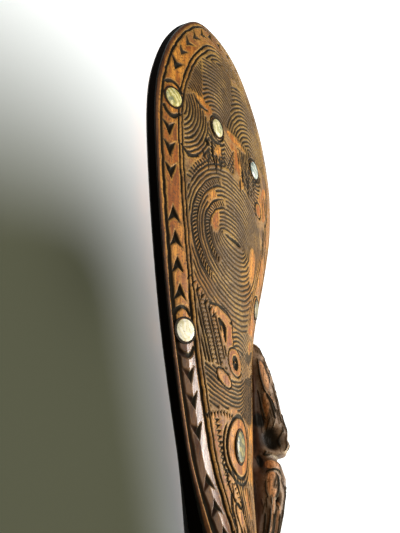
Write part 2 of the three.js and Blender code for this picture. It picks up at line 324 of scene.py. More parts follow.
def chisel_tree():
    """Sinks a surface under fine grooves, bold grooves and arrowhead chips."""
    tree = bpy.data.node_groups.new("chisel", "GeometryNodeTree")
    for label, kind in (
        ("Geometry", "Geometry"), ("Fine lines", "Object"), ("Bold lines", "Object"), ("Chips", "Object"),
        ("Plain margin", "Float"), ("Hand wander", "Float"), ("Wood", "Material"),
    ):
        tree.interface.new_socket(label, in_out="INPUT", socket_type="NodeSocket" + kind)
    tree.interface.new_socket("Geometry", in_out="OUTPUT", socket_type="NodeSocketGeometry")
    given = add_node(tree, "NodeGroupInput").outputs
    drawn, on_face = (
        add_node(tree, "GeometryNodeInputNamedAttribute", {"Name": key}, data_type=kind).outputs[0]
        for key, kind in (("drawing", "FLOAT_VECTOR"), ("carved_face", "FLOAT"))
    )
    noise = {0: drawn, 2: WANDERS_PER_MM / MM, 3: 2.0}
    plan = add_node(tree, "ShaderNodeTexNoise", noise).outputs[1]
    for operation, inputs in (
        ("SUBTRACT", {1: (0.5, 0.5, 0.5)}), ("SCALE", {"Scale": given["Hand wander"]}),
        ("ADD", {1: drawn}), ("MULTIPLY", {1: (1.0, 1.0, 0.0)}),
    ):
        plan = add_node(tree, "ShaderNodeVectorMath", {0: plan, **inputs}, operation=operation).outputs[0]

    def said_by(shape, index, key, kind="FLOAT"):
        """What a point of a line or of a chip says under a name."""
        if key == "position":
            read = add_node(tree, "GeometryNodeInputPosition").outputs[0]
        else:
            read = add_node(tree, "GeometryNodeInputNamedAttribute", {"Name": key}, data_type=kind).outputs[0]
        inputs = {"Geometry": shape, "Value": read, "Index": index}
        return add_node(tree, "GeometryNodeSampleIndex", inputs, data_type=kind).outputs[0]

    def grooves(lines, steep):
        """How deep a set of lines cuts, and how far each place is clear of the nearest one."""
        shape = add_node(tree, "GeometryNodeObjectInfo", {"Object": lines}).outputs["Geometry"]
        inputs = {0: shape, "Sample Position": plan}
        near = add_node(tree, "GeometryNodeProximity", inputs, target_element="EDGES").outputs
        inputs = {"Geometry": shape, "Sample Position": near["Position"]}
        index = add_node(tree, "GeometryNodeSampleNearest", inputs).outputs[0]
        half = said_by(shape, index, "half_width")
        share = ("MINIMUM", ("DIVIDE", near["Distance"], half), 1.0)
        sweep = ("POWER", share, 2.2) if steep else ("SINE", ("MULTIPLY", share, math.pi / 2))
        depth = ("MULTIPLY", ("SUBTRACT", 1.0, sweep), said_by(shape, index, "depth"))
        return depth, ("SUBTRACT", near["Distance"], half)

    def arrowheads():
        """The same for the nearest chip: two wings that meet at its point, with a notch behind."""
        shape = add_node(tree, "GeometryNodeObjectInfo", {"Object": given["Chips"]}).outputs["Geometry"]
        inputs = {"Geometry": shape, "Sample Position": plan}
        index = add_node(tree, "GeometryNodeSampleNearest", inputs).outputs[0]
        inputs = {0: plan, 1: said_by(shape, index, "position", "FLOAT_VECTOR")}
        offset = add_node(tree, "ShaderNodeVectorMath", inputs, operation="SUBTRACT").outputs[0]
        ahead, aside = (
            add_node(
                tree, "ShaderNodeVectorMath", {0: offset, 1: said_by(shape, index, key, "FLOAT_VECTOR")},
                operation="DOT_PRODUCT",
            ).outputs[1]
            for key in ("way", "across")
        )
        length, notch, reach, depth = (
            said_by(shape, index, key) for key in ("length", "notch", "reach", "depth")
        )
        behind = worked_out(tree, ("SUBTRACT", ("MULTIPLY", length, 0.5), ahead))
        out = worked_out(tree, ("DIVIDE", ("ABSOLUTE", aside), reach))
        from_point = ("SUBTRACT", behind, ("MULTIPLY", out, length))
        wing = ("MULTIPLY", out, ("SUBTRACT", length, notch))
        from_notch = ("SUBTRACT", ("ADD", notch, wing), behind)
        within_it = ("MINIMUM", ("MULTIPLY", from_point, 0.6), ("MULTIPLY", from_notch, 0.9))
        within_it = worked_out(tree, within_it)
        return ("MINIMUM", ("MAXIMUM", within_it, 0.0), depth), ("MULTIPLY", within_it, -1.0)

    fine_depth, fine_clear = grooves(given["Fine lines"], steep=False)
    bold_depth, bold_clear = grooves(given["Bold lines"], steep=True)
    chip_depth, chip_clear = arrowheads()
    deepest = ("MAXIMUM", ("MAXIMUM", fine_depth, bold_depth), chip_depth)
    depth = worked_out(tree, ("MULTIPLY", deepest, on_face))
    clear = ("MINIMUM", ("MINIMUM", fine_clear, bold_clear), chip_clear)
    clear = ("DIVIDE", clear, given["Plain margin"])
    plain = worked_out(tree, ("MAXIMUM", clear, ("SUBTRACT", 1.0, on_face)))
    normal = add_node(tree, "GeometryNodeInputNormal").outputs[0]
    sunk = {0: normal, "Scale": worked_out(tree, ("MULTIPLY", depth, -1.0))}
    move = add_node(tree, "ShaderNodeVectorMath", sunk, operation="SCALE").outputs[0]
    shape = given["Geometry"]
    for kind, inputs in (
        ("StoreNamedAttribute", {"Name": "cut", "Value": depth}),
        ("StoreNamedAttribute", {"Name": "plain", "Value": plain}),
        ("SetPosition", {"Offset": move}),
        ("RealizeInstances", {}),
        ("SetMaterial", {"Material": given["Wood"]}),
    ):
        shape = add_node(tree, "GeometryNode" + kind, {"Geometry": shape, **inputs}).outputs[0]
    add_node(tree, "NodeGroupOutput", {0: shape})
    return tree


chisel = chisel_tree()


def carve(piece, lines, margin, wander, material):
    """Cuts a piece along its lines with the chisel, and leaves the result as a plain mesh."""
    values = dict(zip(("Fine lines", "Bold lines", "Chips"), lines))
    values.update({"Plain margin": margin * MM, "Hand wander": wander * MM, "Wood": material})
    modifier = piece.modifiers.new("chisel", "NODES")
    modifier.node_group = chisel
    for item in chisel.interface.items_tree:
        if item.in_out == "INPUT" and item.name in values:
            modifier[item.identifier] = values[item.name]
    graph = bpy.context.evaluated_depsgraph_get()
    graph.update()
    made = bpy.data.meshes.new_from_object(piece.evaluated_get(graph))
    piece.modifiers.remove(modifier)
    piece.data = made


class CutLines:
    """Cut lines of one face: paths in plan, with a half width and a depth at each point, in millimetres."""

    def __init__(self):
        self.paths = []

    def add(self, path, half, depth, taper=0.0, keep=None):
        path = np.asarray(path, float)
        steps = np.linalg.norm(np.diff(path, axis=0), axis=1)
        along = np.concatenate([[0], np.cumsum(steps)])
        count = max(3, int(along[-1] / 0.4) + 1)
        at = np.linspace(0, along[-1], count)
        path = np.stack([np.interp(at, along, path[:, k]) for k in (0, 1)], 1)
        half = np.interp(at, np.linspace(0, along[-1], np.size(half)), np.atleast_1d(half))
        depth = np.interp(at, np.linspace(0, along[-1], np.size(depth)), np.atleast_1d(depth))
        wander = np.random.default_rng(len(self.paths)).normal(0, 1, count // 12 + 4)
        sway = np.interp(np.arange(count), np.arange(len(wander)) * 12, wander)
        half, depth = half * (1 + 0.05 * sway), depth * (1 + 0.12 * sway)
        if taper:
            fade = ease(0, taper, at) * ease(0, taper, along[-1] - at)
            half, depth = half * (0.35 + 0.65 * fade), depth * fade
        if keep is not None:
            depth = depth * keep(path)
        self.paths.append((path, half, depth))

    def as_object(self, name):
        points, half, depth, edges, start = [], [], [], [], 0
        for path, h, d in self.paths:
            used = d > 0.02
            for a, b in run_ends(used):
                if b - a < 2:
                    continue
                points.append(path[a:b])
                half.append(h[a:b])
                depth.append(d[a:b])
                edges.append(np.stack([np.arange(b - a - 1), np.arange(1, b - a)], 1) + start)
                start += b - a
        mesh = bpy.data.meshes.new(name)
        flat = np.concatenate(points)
        edges = np.concatenate(edges)
        mesh.vertices.add(len(flat))
        mesh.vertices.foreach_set("co", np.column_stack([flat, np.zeros(len(flat))]).ravel() * MM)
        mesh.edges.add(len(edges))
        mesh.edges.foreach_set("vertices", edges.ravel().astype(np.int32))
        for key, values in (("half_width", half), ("depth", depth)):
            mesh.attributes.new(key, "FLOAT", "POINT").data.foreach_set("value", np.concatenate(values) * MM)
        mesh.update()
        made = bpy.data.objects.new(name, mesh)
        bpy.context.scene.collection.objects.link(made)
        return made


class Chips:
    """Arrowhead chips: a point, the way it points, length, half width, notch and depth, in millimetres."""

    def __init__(self):
        self.rows = []

    def add(self, point, way, length, reach, notch, depth):
        way = np.array(way, float) / np.hypot(*way)
        middle = np.array(point, float) - way * length / 2
        self.rows.append((*middle, *way, length, reach, notch, depth))

    def as_object(self, name):
        rows = np.array(self.rows)
        zero = np.zeros(len(rows))
        mesh = bpy.data.meshes.new(name)
        mesh.vertices.add(len(rows))
        mesh.vertices.foreach_set("co", np.column_stack([rows[:, :2] * MM, zero]).ravel())
        for key, columns in (("way", (rows[:, 2], rows[:, 3])), ("across", (-rows[:, 3], rows[:, 2]))):
            flat = np.column_stack([*columns, zero]).ravel()
            mesh.attributes.new(key, "FLOAT_VECTOR", "POINT").data.foreach_set("vector", flat)
        for column, key in enumerate(("length", "reach", "notch", "depth"), 4):
            flat = rows[:, column] * MM
            mesh.attributes.new(key, "FLOAT", "POINT").data.foreach_set("value", flat)
        mesh.update()
        made = bpy.data.objects.new(name, mesh)
        bpy.context.scene.collection.objects.link(made)
        return made


def run_ends(used):
    """Starts and ends of the stretches where used holds."""
    turns = np.flatnonzero(np.diff(np.concatenate([[0], used.astype(int), [0]])))
    return list(zip(turns[::2], turns[1::2]))


def arc(centre, radius, start, end, flat=1.0, tilt=0.0):
    """Points on an arc, its angles in degrees from +X. flat presses it along its own short axis."""
    count = max(8, int(abs(end - start) * radius * math.pi / 180 / 0.4))
    a = np.radians(np.linspace(start, end, count))
    x, y = radius * np.cos(a), radius * flat * np.sin(a)
    c, s = math.cos(math.radians(tilt)), math.sin(math.radians(tilt))
    return np.stack([centre[0] + x * c - y * s, centre[1] + x * s + y * c], 1)


# The border is drawn by distance along the blade's edge and in from it
lap = np.concatenate([[0], np.cumsum(np.linalg.norm(np.diff(outline, axis=0), axis=1))])
start_index = int(np.argmin(np.abs(left_edge[:, 1] - (BLADE_Y + 12))))
lap_start = lap[start_index]
slope_x, slope_y = np.gradient(outline[:, 0], lap), np.gradient(outline[:, 1], lap)


def by_edge(along, inward):
    """Plan places from distances along the edge, up the convex side from the grip, and in from it."""
    along = np.asarray(along, float) + lap_start
    x, y = np.interp(along, lap, outline[:, 0]), np.interp(along, lap, outline[:, 1])
    tx, ty = np.interp(along, lap, slope_x), np.interp(along, lap, slope_y)
    size = np.hypot(tx, ty)
    return np.stack([x + inward * ty / size, y - inward * tx / size], -1)


figure_top_y = TIP_Y - 143.0
right_top = int(np.argmin(np.abs(right_edge[:, 1] - figure_top_y)))
LAP_TO_FIGURE = lap[len(outline) - 1 - right_top] - lap_start
RIM = 2.8  # the rim groove's distance in from the edge
BAND_IN = 12.4  # the first of the two grooves inside the band
BAND_STEP = 10.4  # from one chip to the next
ROSETTE_RADIUS = 9.7

fine, bold, chips = CutLines(), CutLines(), Chips()


def chevron(along, points_up, middle=6.9, reach=3.9, length=8.0, notch=5.6, depth=1.4):
    """One arrowhead chip in the band, its point at a distance along the edge."""
    point, before = by_edge(np.array([along, along - 1.0]), np.array([middle, middle]))
    way = (point - before) * (1 if points_up else -1)
    chips.add(point, way, length, reach, notch, depth)


def border(lines, first, last):
    """The rim groove and the double groove inside the band."""
    along = np.arange(first, last, 0.5)
    broad = 1 - ease(90, 170, along)
    lines.add(by_edge(along, RIM + 0 * along), 0.6 + 0.65 * broad, 0.8 + 0.1 * broad)
    lines.add(by_edge(along, BAND_IN + 0 * along), 0.55, 0.8)
    lines.add(by_edge(along, BAND_IN + 2.1 + 0 * along), 0.55, 0.6)


border(bold, -14, LAP_TO_FIGURE)
LOWER_SHELL, UPPER_SHELL = 82.1, 184.6
for along in (60.8, 50.9, 39.2, 163.5, 154.2, 144.4):
    chevron(along, False)
for along in (27.6, 17.8, 6.9, -3.4, 133.8, 123.6, 112.7, 101.8):
    chevron(along, True)
chevron(UPPER_SHELL + 17.2, False, depth=1.1)
for step in range(12):
    chevron(UPPER_SHELL + 30 + step * BAND_STEP, False, reach=3.2, length=7.0, notch=4.4, depth=0.42)
for shell_lap, middle in ((LOWER_SHELL, 7.3), (UPPER_SHELL, 8.6)):
    for side in (0, 180):
        angles = np.radians(np.linspace(-46, 46, 40) + side)
        along = shell_lap + ROSETTE_RADIUS * np.cos(angles)
        bold.add(by_edge(along, middle + ROSETTE_RADIUS * np.sin(angles) * 0.62), 1.0, 1.0)


def rings(centre, radii, start, end, keep, flat=1.0, tilt=0.0, half=0.92, depth=0.65):
    """Fine grooves side by side on arcs about one centre."""
    for radius in radii:
        fine.add(arc(centre, radius, start, end, flat, tilt), half, depth, keep=keep)


def parallels(path, steps, shift, keep, half=0.92, depth=0.65):
    """Fine grooves side by side, one path repeated at equal shifts."""
    for step in steps:
        fine.add(np.array(path) + np.array(shift) * step, half, depth, keep=keep)


def curve(*points):
    """A smooth open path through a few points."""
    p = np.array(points, float)
    p = np.concatenate([[2 * p[0] - p[1]], p, [2 * p[-1] - p[-2]]])
    t = np.linspace(0, 1, 16, endpoint=False)[:, None]
    spans = [
        (2 * b - 2 * c + (c - a) / 2 + (d - b) / 2) * t**3
        + (3 * c - 3 * b - (c - a) - (d - b) / 2) * t**2 + (c - a) / 2 * t + b
        for a, b, c, d in zip(p[:-3], p[1:-2], p[2:-1], p[3:])
    ]
    return np.concatenate(spans + [p[-2:-1]])


# Plain places that no fine groove crosses: (x, y, half length, half width, tilt)
islands = []


def island(x, y, half_length, half_width, tilt=0.0, groove=0.0, depth=0.8):
    """A plain place, left standing, with a cut round it where groove is not 0."""
    islands.append((x, y, half_length + 0.5, half_width + 0.5, tilt))
    if groove:
        ring = arc((x, y), half_length + 0.8, 0, 360, (half_width + 0.8) / (half_length + 0.8), tilt)
        bold.add(ring, groove, depth)


def within(path, x, y, half_length, half_width, tilt=0.0):
    """Distance from an oval's centre as a share of the way to its edge."""
    c, s = math.cos(math.radians(tilt)), math.sin(math.radians(tilt))
    dx, dy = path[:, 0] - x, path[:, 1] - y
    return np.hypot((dx * c + dy * s) / half_length, (dy * c - dx * s) / half_width)


def off_islands(path):
    """1 where a fine groove may run and 0 on the plain places and the border."""
    low_right = (path[:, 0] > 4) & (path[:, 1] < 44)
    border_depth = np.where(low_right, 2.2, 15.2)
    keep = ease(0, 1.2, on_grid(edge_grid, path[:, 0], path[:, 1]) - border_depth)
    for x, y, long, short, tilt in islands:
        keep = keep * ease(0.98, 1.06, within(path, x, y, long, short, tilt))
    return keep


def in_shape(*corners):
    """A test that holds between the corners of a shape, for use as a groove's limits."""
    shape = np.array(corners, float)

    def keep(path):
        x, y = path[:, 0], path[:, 1]
        hit = np.zeros(len(path), bool)
        for (x0, y0), (x1, y1) in zip(shape, np.roll(shape, -1, 0)):
            crosses = (y0 > y) != (y1 > y)
            hit ^= crosses & (x < (x1 - x0) * (y - y0) / ((y1 - y0) or 1e-9) + x0)
        return off_islands(path) * hit * spiral_clear(path)

    return keep


def spiral_clear(path):
    """0 inside the round field that the double spiral fills, and 1 outside it."""
    upper = within(path, SPIRAL_CENTRE[0] - 1, SPIRAL_CENTRE[1] - 2.2, 37.5, 34.6)
    lower = within(path, SPIRAL_CENTRE[0] - 1, SPIRAL_CENTRE[1] - 2.2, 43.0, 37.6)
    return ease(1.0, 1.03, np.where((path[:, 1] > 80) & (path[:, 0] > -24), upper, lower))


# The double spiral in the middle of the blade
SPIRAL_CENTRE = (-1.5, 79.5)
SPIRAL_REACH = 34.0
SPIRAL_PITCH = 2.1
SLOT_HALF = 9.0


def spiral_place(radius, angle):
    """Rings that are round outside and drawn out along X towards the middle slot."""
    stretch = SLOT_HALF * (1 - 0.7 * radius / SPIRAL_REACH)
    x = SPIRAL_CENTRE[0] + (radius + stretch) * np.cos(angle)
    return np.stack([x, SPIRAL_CENTRE[1] - 0.06 * radius + radius * np.sin(angle)], 1)


def seat_middle(name):
    """Middle of a shell inlay, in millimetres."""
    low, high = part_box(name)
    return (low + high) / 2 / MM


# The mask at the tip and the head in profile: eyes, nose, tongue, brows and curls left standing
for seat in ("mask_left_eye_shell", "mask_right_eye_shell"):
    eye = seat_middle(seat)
    island(eye.x, eye.y, 5.2, 5.0, groove=0.6)
HEAD_EYE = seat_middle("profile_head_eye_shell")
island(HEAD_EYE.x, HEAD_EYE.y, 11.6, 10.6, 84, groove=0.9, depth=1.0)
bold.add(arc((HEAD_EYE.x, HEAD_EYE.y), 14.9, 60, 330, 0.93, 84), 0.7, 0.8, taper=5)
side_eye = seat_middle("border_figure_side_shell")
island(side_eye.x, side_eye.y, 5.4, 5.0, groove=0.5)
for plain_place in (
    (-24.5, 133.6, 4.2, 2.0, 8), (5.0, 121.0, 6.4, 2.2, 100), (7.5, 111.5, 3.4, 2.0, 60),
    (-15.6, 114, 6.2, 3.0, 66), (37, 114, 9, 4.5, 74), (3, 130.6, 9, 1.5, -4), (-18.8, 87.0, 9.6, 4.2, 96),
    (20.8, 76.0, 8.4, 4.2, 84), (35, 80, 9, 3.4, 80), (-5.8, 35.6, 7.0, 2.2, -68),
    (-14.0, 42.3, 6.4, 1.6, -8), (24.5, -12, 7, 2.0, 92), (22, 38, 3.4, 1.8, 60), (12, -30, 6.5, 2.3, 118),
):
    island(*plain_place)
for points, half, depth in (
    ([(-20.5, 119), (-20, 113), (-17, 107.5)], [0.5, 1.1, 0.5], 1.1),
    ([(-12, 119), (-11.5, 114), (-12.5, 109)], [0.4, 0.9, 0.4], 0.9),
    ([(-33, 134.5), (-29, 132.5), (-24, 132.5)], [0.4, 1.0, 0.5], 0.9),
    ([(-42, 107.5), (-37, 105), (-31, 107)], [0.5, 1.1, 0.5], 0.9),
):
    bold.add(curve(*points), half, depth)
island(28, 107, 3.2, 3.0, groove=0.5)
island(0.2, 25.2, 6.4, 5.2, -12, groove=0.5)
bold.add(arc((0.2, 25.0), 2.0, 0, 360, 0.9), 1.6, 1.3)
island(-9.4, 16.2, 5.2, 2.2, -22, groove=0.45)
island(-1, -27, 7, 1.8, 125, groove=0.5)
island(3, -38, 6, 2.0, 118, groove=0.5)
bold.add(curve((-14, 39.6), (-10.4, 37), (-9.2, 32)), [1.0, 1.7, 0.7], 1.3)
bold.add(curve((-21, 44.8), (-12, 45.2), (-5, 43), (-2.6, 38), (-2.2, 31)), 0.55, 0.9)
bold.add([(-24, 121.5), (-17.5, 120.2), (-11.5, 122)], [0.4, 1.0, 0.4], 1.0)
bold.add([(-25, 117.5), (-23.8, 116.5)], [1.4, 1.2], 1.4)

NOTCH_BANDS = [(14.8, 17.6), (25.4, 28.2)]


def off_notches(path):
    """1 except in the two bands of the spiral that are notched instead of grooved."""
    dx, dy = path[:, 0] - SPIRAL_CENTRE[0], path[:, 1] - SPIRAL_CENTRE[1]
    angle = np.arctan2(dy, dx)
    radius = np.hypot(dx, dy)
    for _ in range(6):
        place = spiral_place(radius, angle)
        radius = radius + np.hypot(dx, dy) - np.hypot(*(place - SPIRAL_CENTRE).T)
    degrees = np.degrees(angle) % 360
    keep = off_islands(path) * np.where((radius > 33.6) & (path[:, 1] > 80) & (path[:, 0] > -24), 0.0, 1.0)
    for low, high in NOTCH_BANDS:
        band = (radius > low - 0.5) & (radius < high + 0.5) & (degrees > 112) & (degrees < 232)
        keep = keep * np.where(band, 0.0, 1.0)
    return keep


for arm in (0, math.pi):
    angle = np.arange(0.9 * math.pi, math.pi * (SPIRAL_REACH + 3.4) / SPIRAL_PITCH, 0.02)
    radius = SPIRAL_PITCH * angle / math.pi
    fine.add(spiral_place(radius, angle + arm), 1.0, 0.52, keep=off_notches)
bold.add(spiral_place(np.array([0.1, 0.1]), np.array([math.pi, 0])), 1.0, 1.3, taper=4)
for low, high in NOTCH_BANDS:
    for angle in np.arange(math.radians(114), math.radians(232), 2.0 / (high + 4)):
        ends = spiral_place(np.array([low + 0.4, high - 0.4]), np.array([angle, angle + 0.04]))
        fine.add(ends, 0.75, 0.9)
    for radius in (low - 0.6, high + 0.6):
        sweep = np.radians(np.linspace(108, 236, 90))
        fine.add(spiral_place(np.full(90, radius), sweep), 0.8, 0.8, taper=4)


# Upper mask: grooves parallel to the tip, two brows, cheeks
over_brows = in_shape(
    (-42, 138), (-38, 150), (-26, 161), (-6, 167), (16, 166), (36, 156), (43, 140), (60, 140),
    (60, 190), (-60, 190), (-60, 138),
)
for inward in np.arange(17.0, 32, 1.95):
    along = np.arange(180, 330, 1.0)
    fine.add(by_edge(along, inward + 0 * along), 0.92, 0.65, keep=over_brows)
left_brow = in_shape(
    (-27, 138.5), (-24, 161), (-6, 166.8), (1.2, 166.8), (-0.5, 150), (-6, 133.5), (-22, 133.5)
)
rings((-15, 127), np.arange(8.0, 40, 1.9), 20, 165, left_brow)
right_brow = in_shape(
    (1.2, 166.8), (16, 165.5), (36, 155), (42, 139), (33, 131), (12, 133.5), (-6, 133.5), (-0.5, 150)
)
rings((19, 126), np.arange(8.0, 40, 2.0), 0, 165, right_brow)
temple = in_shape((-44, 137), (-37.6, 150), (-26, 160.5), (-28, 138))
rings((-41, 131), np.arange(6, 34, 1.7), 0, 110, temple, half=0.85, depth=0.7)
UPPER_EYE = seat_middle("border_upper_shell")
left_cheek = in_shape((-44, 137.5), (-34, 137.5), (-28, 131), (-23, 126), (-23, 118), (-24, 104), (-50, 104))
rings((UPPER_EYE.x, UPPER_EYE.y), np.arange(8.0, 34, 1.9), -84, 34, left_cheek)
under_eye = in_shape((-23, 126), (-10, 127), (-7, 110), (-23, 104))
rings((-15.8, 128), np.arange(8, 26, 1.8), 180, 360, under_eye)
beside_nose = in_shape((-9, 128.5), (0, 128.5), (0, 106), (-9, 106))
parallels([(-10, 126), (2, 121)], range(9), (0, -2.1), beside_nose)
parallels([(-9, 108), (1, 126)], range(4), (2.6, 0), beside_nose, half=0.7)
right_cheek = in_shape((2, 133), (34, 131.5), (31, 121), (27, 111), (24, 100), (7, 106))
rings((24, 128.5), np.arange(6, 32, 1.9), 80, 340, right_cheek)
far_cheek = in_shape((30, 131), (44, 139), (60, 139), (60, 100), (47, 100), (49, 128), (36, 131))
for inward in np.arange(16.8, 30, 2.2):
    along = np.arange(300, 430, 1.0)
    fine.add(by_edge(along, inward + 0 * along), 0.9, 0.45, keep=far_cheek)

# Corner between the spiral and the border: small teeth, then slanting grooves with beaded rows between them
for step in range(7):
    x, y = -33.6 + step * 2.7, 54.6 - step * 1.9
    chips.add((x - 1.8, y - 5.4), (-0.4, -1), 6.0, 1.5, 3.6, 1.4)
slants = in_shape(
    (-34, 51), (-20, 43.5), (-20, 40.5), (-12, 39.5), (-13, 33), (-8, 27), (-12, 20.8), (-24, 20.8), (-30, 30)
)
SLANT_START, SLANT_SHIFT = np.array([-43, 64]), np.array([1.75, 0.5])
DOWN_SLANT, ACROSS_SLANT = np.array([0.403, -0.915]), np.array([0.915, 0.403])
grooves_kept = [0, 1, 2, 3, 5, 6, 8, 9, 11, 12, 14, 15, 17, 18, 19]
parallels([(-43, 64), (-21, 14)], grooves_kept, SLANT_SHIFT, slants)
for step in (3.5, 4.5, 6.5, 7.5, 9.5, 10.5, 12.5, 13.5, 15.5, 16.5):
    for along in np.arange(0, 54, 1.7):
        middle = SLANT_START + step * SLANT_SHIFT + along * DOWN_SLANT
        bead = [middle - 0.8 * ACROSS_SLANT, middle + 0.8 * ACROSS_SLANT]
        fine.add(bead, 0.6, 0.6, taper=0.4, keep=slants)

# Under the spiral, round the ring, and the lips of the head in profile with teeth on both sides of them
under_spiral = in_shape(
    (-20, 46), (-3, 41), (-3, 30), (6, 30), (20, 30), (34, 40), (40, 50), (10, 50), (-14, 48)
)
rings((8, 12), np.arange(16, 44, 1.9), 30, 140, under_spiral)
beside_ring = in_shape((6, 31), (40, 42), (40, 22), (8, 20), (7, 25))
rings((-4, -2), np.arange(20, 52, 1.9), 20, 85, beside_ring)
lip = in_shape(
    (-26, 19.6), (-14, 19.6), (-8, 21), (-6, 18.6), (2, 18.2), (8, 19.5), (32, 29), (32, 5), (17, 3.5),
    (2, 5.5), (-10, 4), (-20, 3), (-26, 10),
)
lip_line = curve((-30, 16), (-18, 10.5), (-5, 8), (6, 10), (15, 16), (24, 24), (34, 34))
parallels(lip_line, range(-12, 9), (0.2, 1.75), lip)
for step in range(9):
    x = -19.5 + step * 2.0
    chips.add((x + 0.8, 0.2 - 0.02 * (x + 8) ** 2), (0.25, -1), 3.6, 1.05, 2.6, 1.0)
for step in range(12):
    place, edgeward = by_edge(np.array([46.0, 46.0]) - step * 2.3, np.array([21.0, 17.0]))
    chips.add(place, place - edgeward, 5.0, 1.5, 3.0, 1.4)
leaves = in_shape((-9, -16), (0, -21), (14, -21), (31, -22), (31, -64), (-8, -64), (-10, -40))
parallels(curve((-12, -14), (-2, -27), (2, -44), (-2, -64)), range(0, 17), (2.05, 0.35), leaves)
for step in range(9):
    x, y = -1.5 + step * 1.15, -24.5 - step * 1.65
    chips.add((x + 1.2, y + 0.9), (0.8, 0.6), 2.8, 0.8, 2.0, 0.9)

# A row of small notches round the top of the spiral, and short loose cuts where the blade narrows
for angle in np.arange(math.radians(100), math.radians(152), 0.055):
    ends = spiral_place(np.array([36.6, 39.4]), np.array([angle, angle + 0.03]))
    fine.add(ends, 0.75, 0.9)
sweep = np.radians(np.linspace(98, 156, 90))
fine.add(spiral_place(np.full(90, 35.4), sweep), 0.8, 0.8, taper=4)
hand = np.random.default_rng(7)
# How many loose cuts, and between which x and y they start
LOOSE_CUTS = [
    (34, -4, 28, -56, -20), (16, 19, 29, -20, 34), (26, 32, 52, 66, 132), (20, 3, 25, 110, 133),
    (8, -30, -10, 109, 118),
]
for count, x0, x1, y0, y1 in LOOSE_CUTS:
    for _ in range(count):
        x, y, long = hand.uniform(x0, x1), hand.uniform(y0, y1), hand.uniform(4, 10)
        lean = hand.uniform(-0.05, 0.3) * long
        path = curve((x, y), (x + lean * 0.7, y - long / 2), (x + lean, y - long))
        bold.add(path, [0.3, hand.uniform(0.5, 0.95), 0.3], hand.uniform(0.4, 0.9))

face_lines = (
    fine.as_object("fine_cut_lines"), bold.as_object("bold_cut_lines"), chips.as_object("chip_lines"),
)

# ---------------------------------------------------------------- the blade
# The broad flat part, both faces carved all over. The wood is waxed and handled: orange where hands and wear
# have polished it, tan on the ridge tops, darker the deeper the cut and near black at the bottom of the cuts.
# Its worn edge is coloured black as painted shade.
def linear(hex_colour):
    """An sRGB hex colour as linear RGBA."""
    channels = [int(hex_colour[k:k + 2], 16) / 255 for k in (0, 2, 4)]
    return [c / 12.92 if c <= 0.04045 else ((c + 0.055) / 1.055) ** 2.4 for c in channels] + [1.0]


def new_material(name):
    """A material and its bare surface, ready for its colours."""
    made = bpy.data.materials.new(name)
    made.use_nodes = True
    made.node_tree.nodes.clear()
    surface = add_node(made.node_tree, "ShaderNodeBsdfPrincipled")
    add_node(made.node_tree, "ShaderNodeOutputMaterial", {"Surface": surface.outputs[0]})
    return made, surface


def even_finish(name, colour, roughness, gloss):
    """A material of one colour all over."""
    made, surface = new_material(name)
    for key, value in (
        ("Base Color", linear(colour)), ("Roughness", roughness), ("Specular IOR Level", gloss),
    ):
        surface.inputs[key].default_value = value
    return made


def glaze(tree, under, over, value, low, high, least=0.0, most=1.0):
    """One colour laid over another as a value rises from low to high. A colour is hex or a glaze."""
    inputs = {0: value, 1: low, 2: high, 3: least, 4: most}
    share = add_node(tree, "ShaderNodeMapRange", inputs, interpolation_type="SMOOTHSTEP").outputs[0]
    under, over = (linear(c) if isinstance(c, str) else c for c in (under, over))
    return add_node(tree, "ShaderNodeMix", {0: share, 6: under, 7: over}, data_type="RGBA").outputs[2]


# Wood patterns, as how many there are in a millimetre. Real pores are finer than 0.3 mm and wouldn't show,
# so the fibres are drawn 0.7 mm apart. Streaks are 4 mm apart, patches 11 mm and specks of dirt 0.9 mm.
FIBRES_PER_MM, STREAKS_PER_MM, PATCHES_PER_MM, SPECKS_PER_MM = 1.4, 0.26, 0.09, 1.1
GRAIN_DRAW = 0.09  # patterns are drawn out eleven times along the plank

# Pairs of wood colours: bare where plain, patched where dirty, worn or dull on the ridges between cuts
BLADE_TONES = {
    "bare": ("A65C1C", "E29C42"), "patch": ("6A4C30", "A17E54"),
    "worn": ("9A6A2A", "C08A3E"), "dull": ("6A512B", "A07E42"),
}


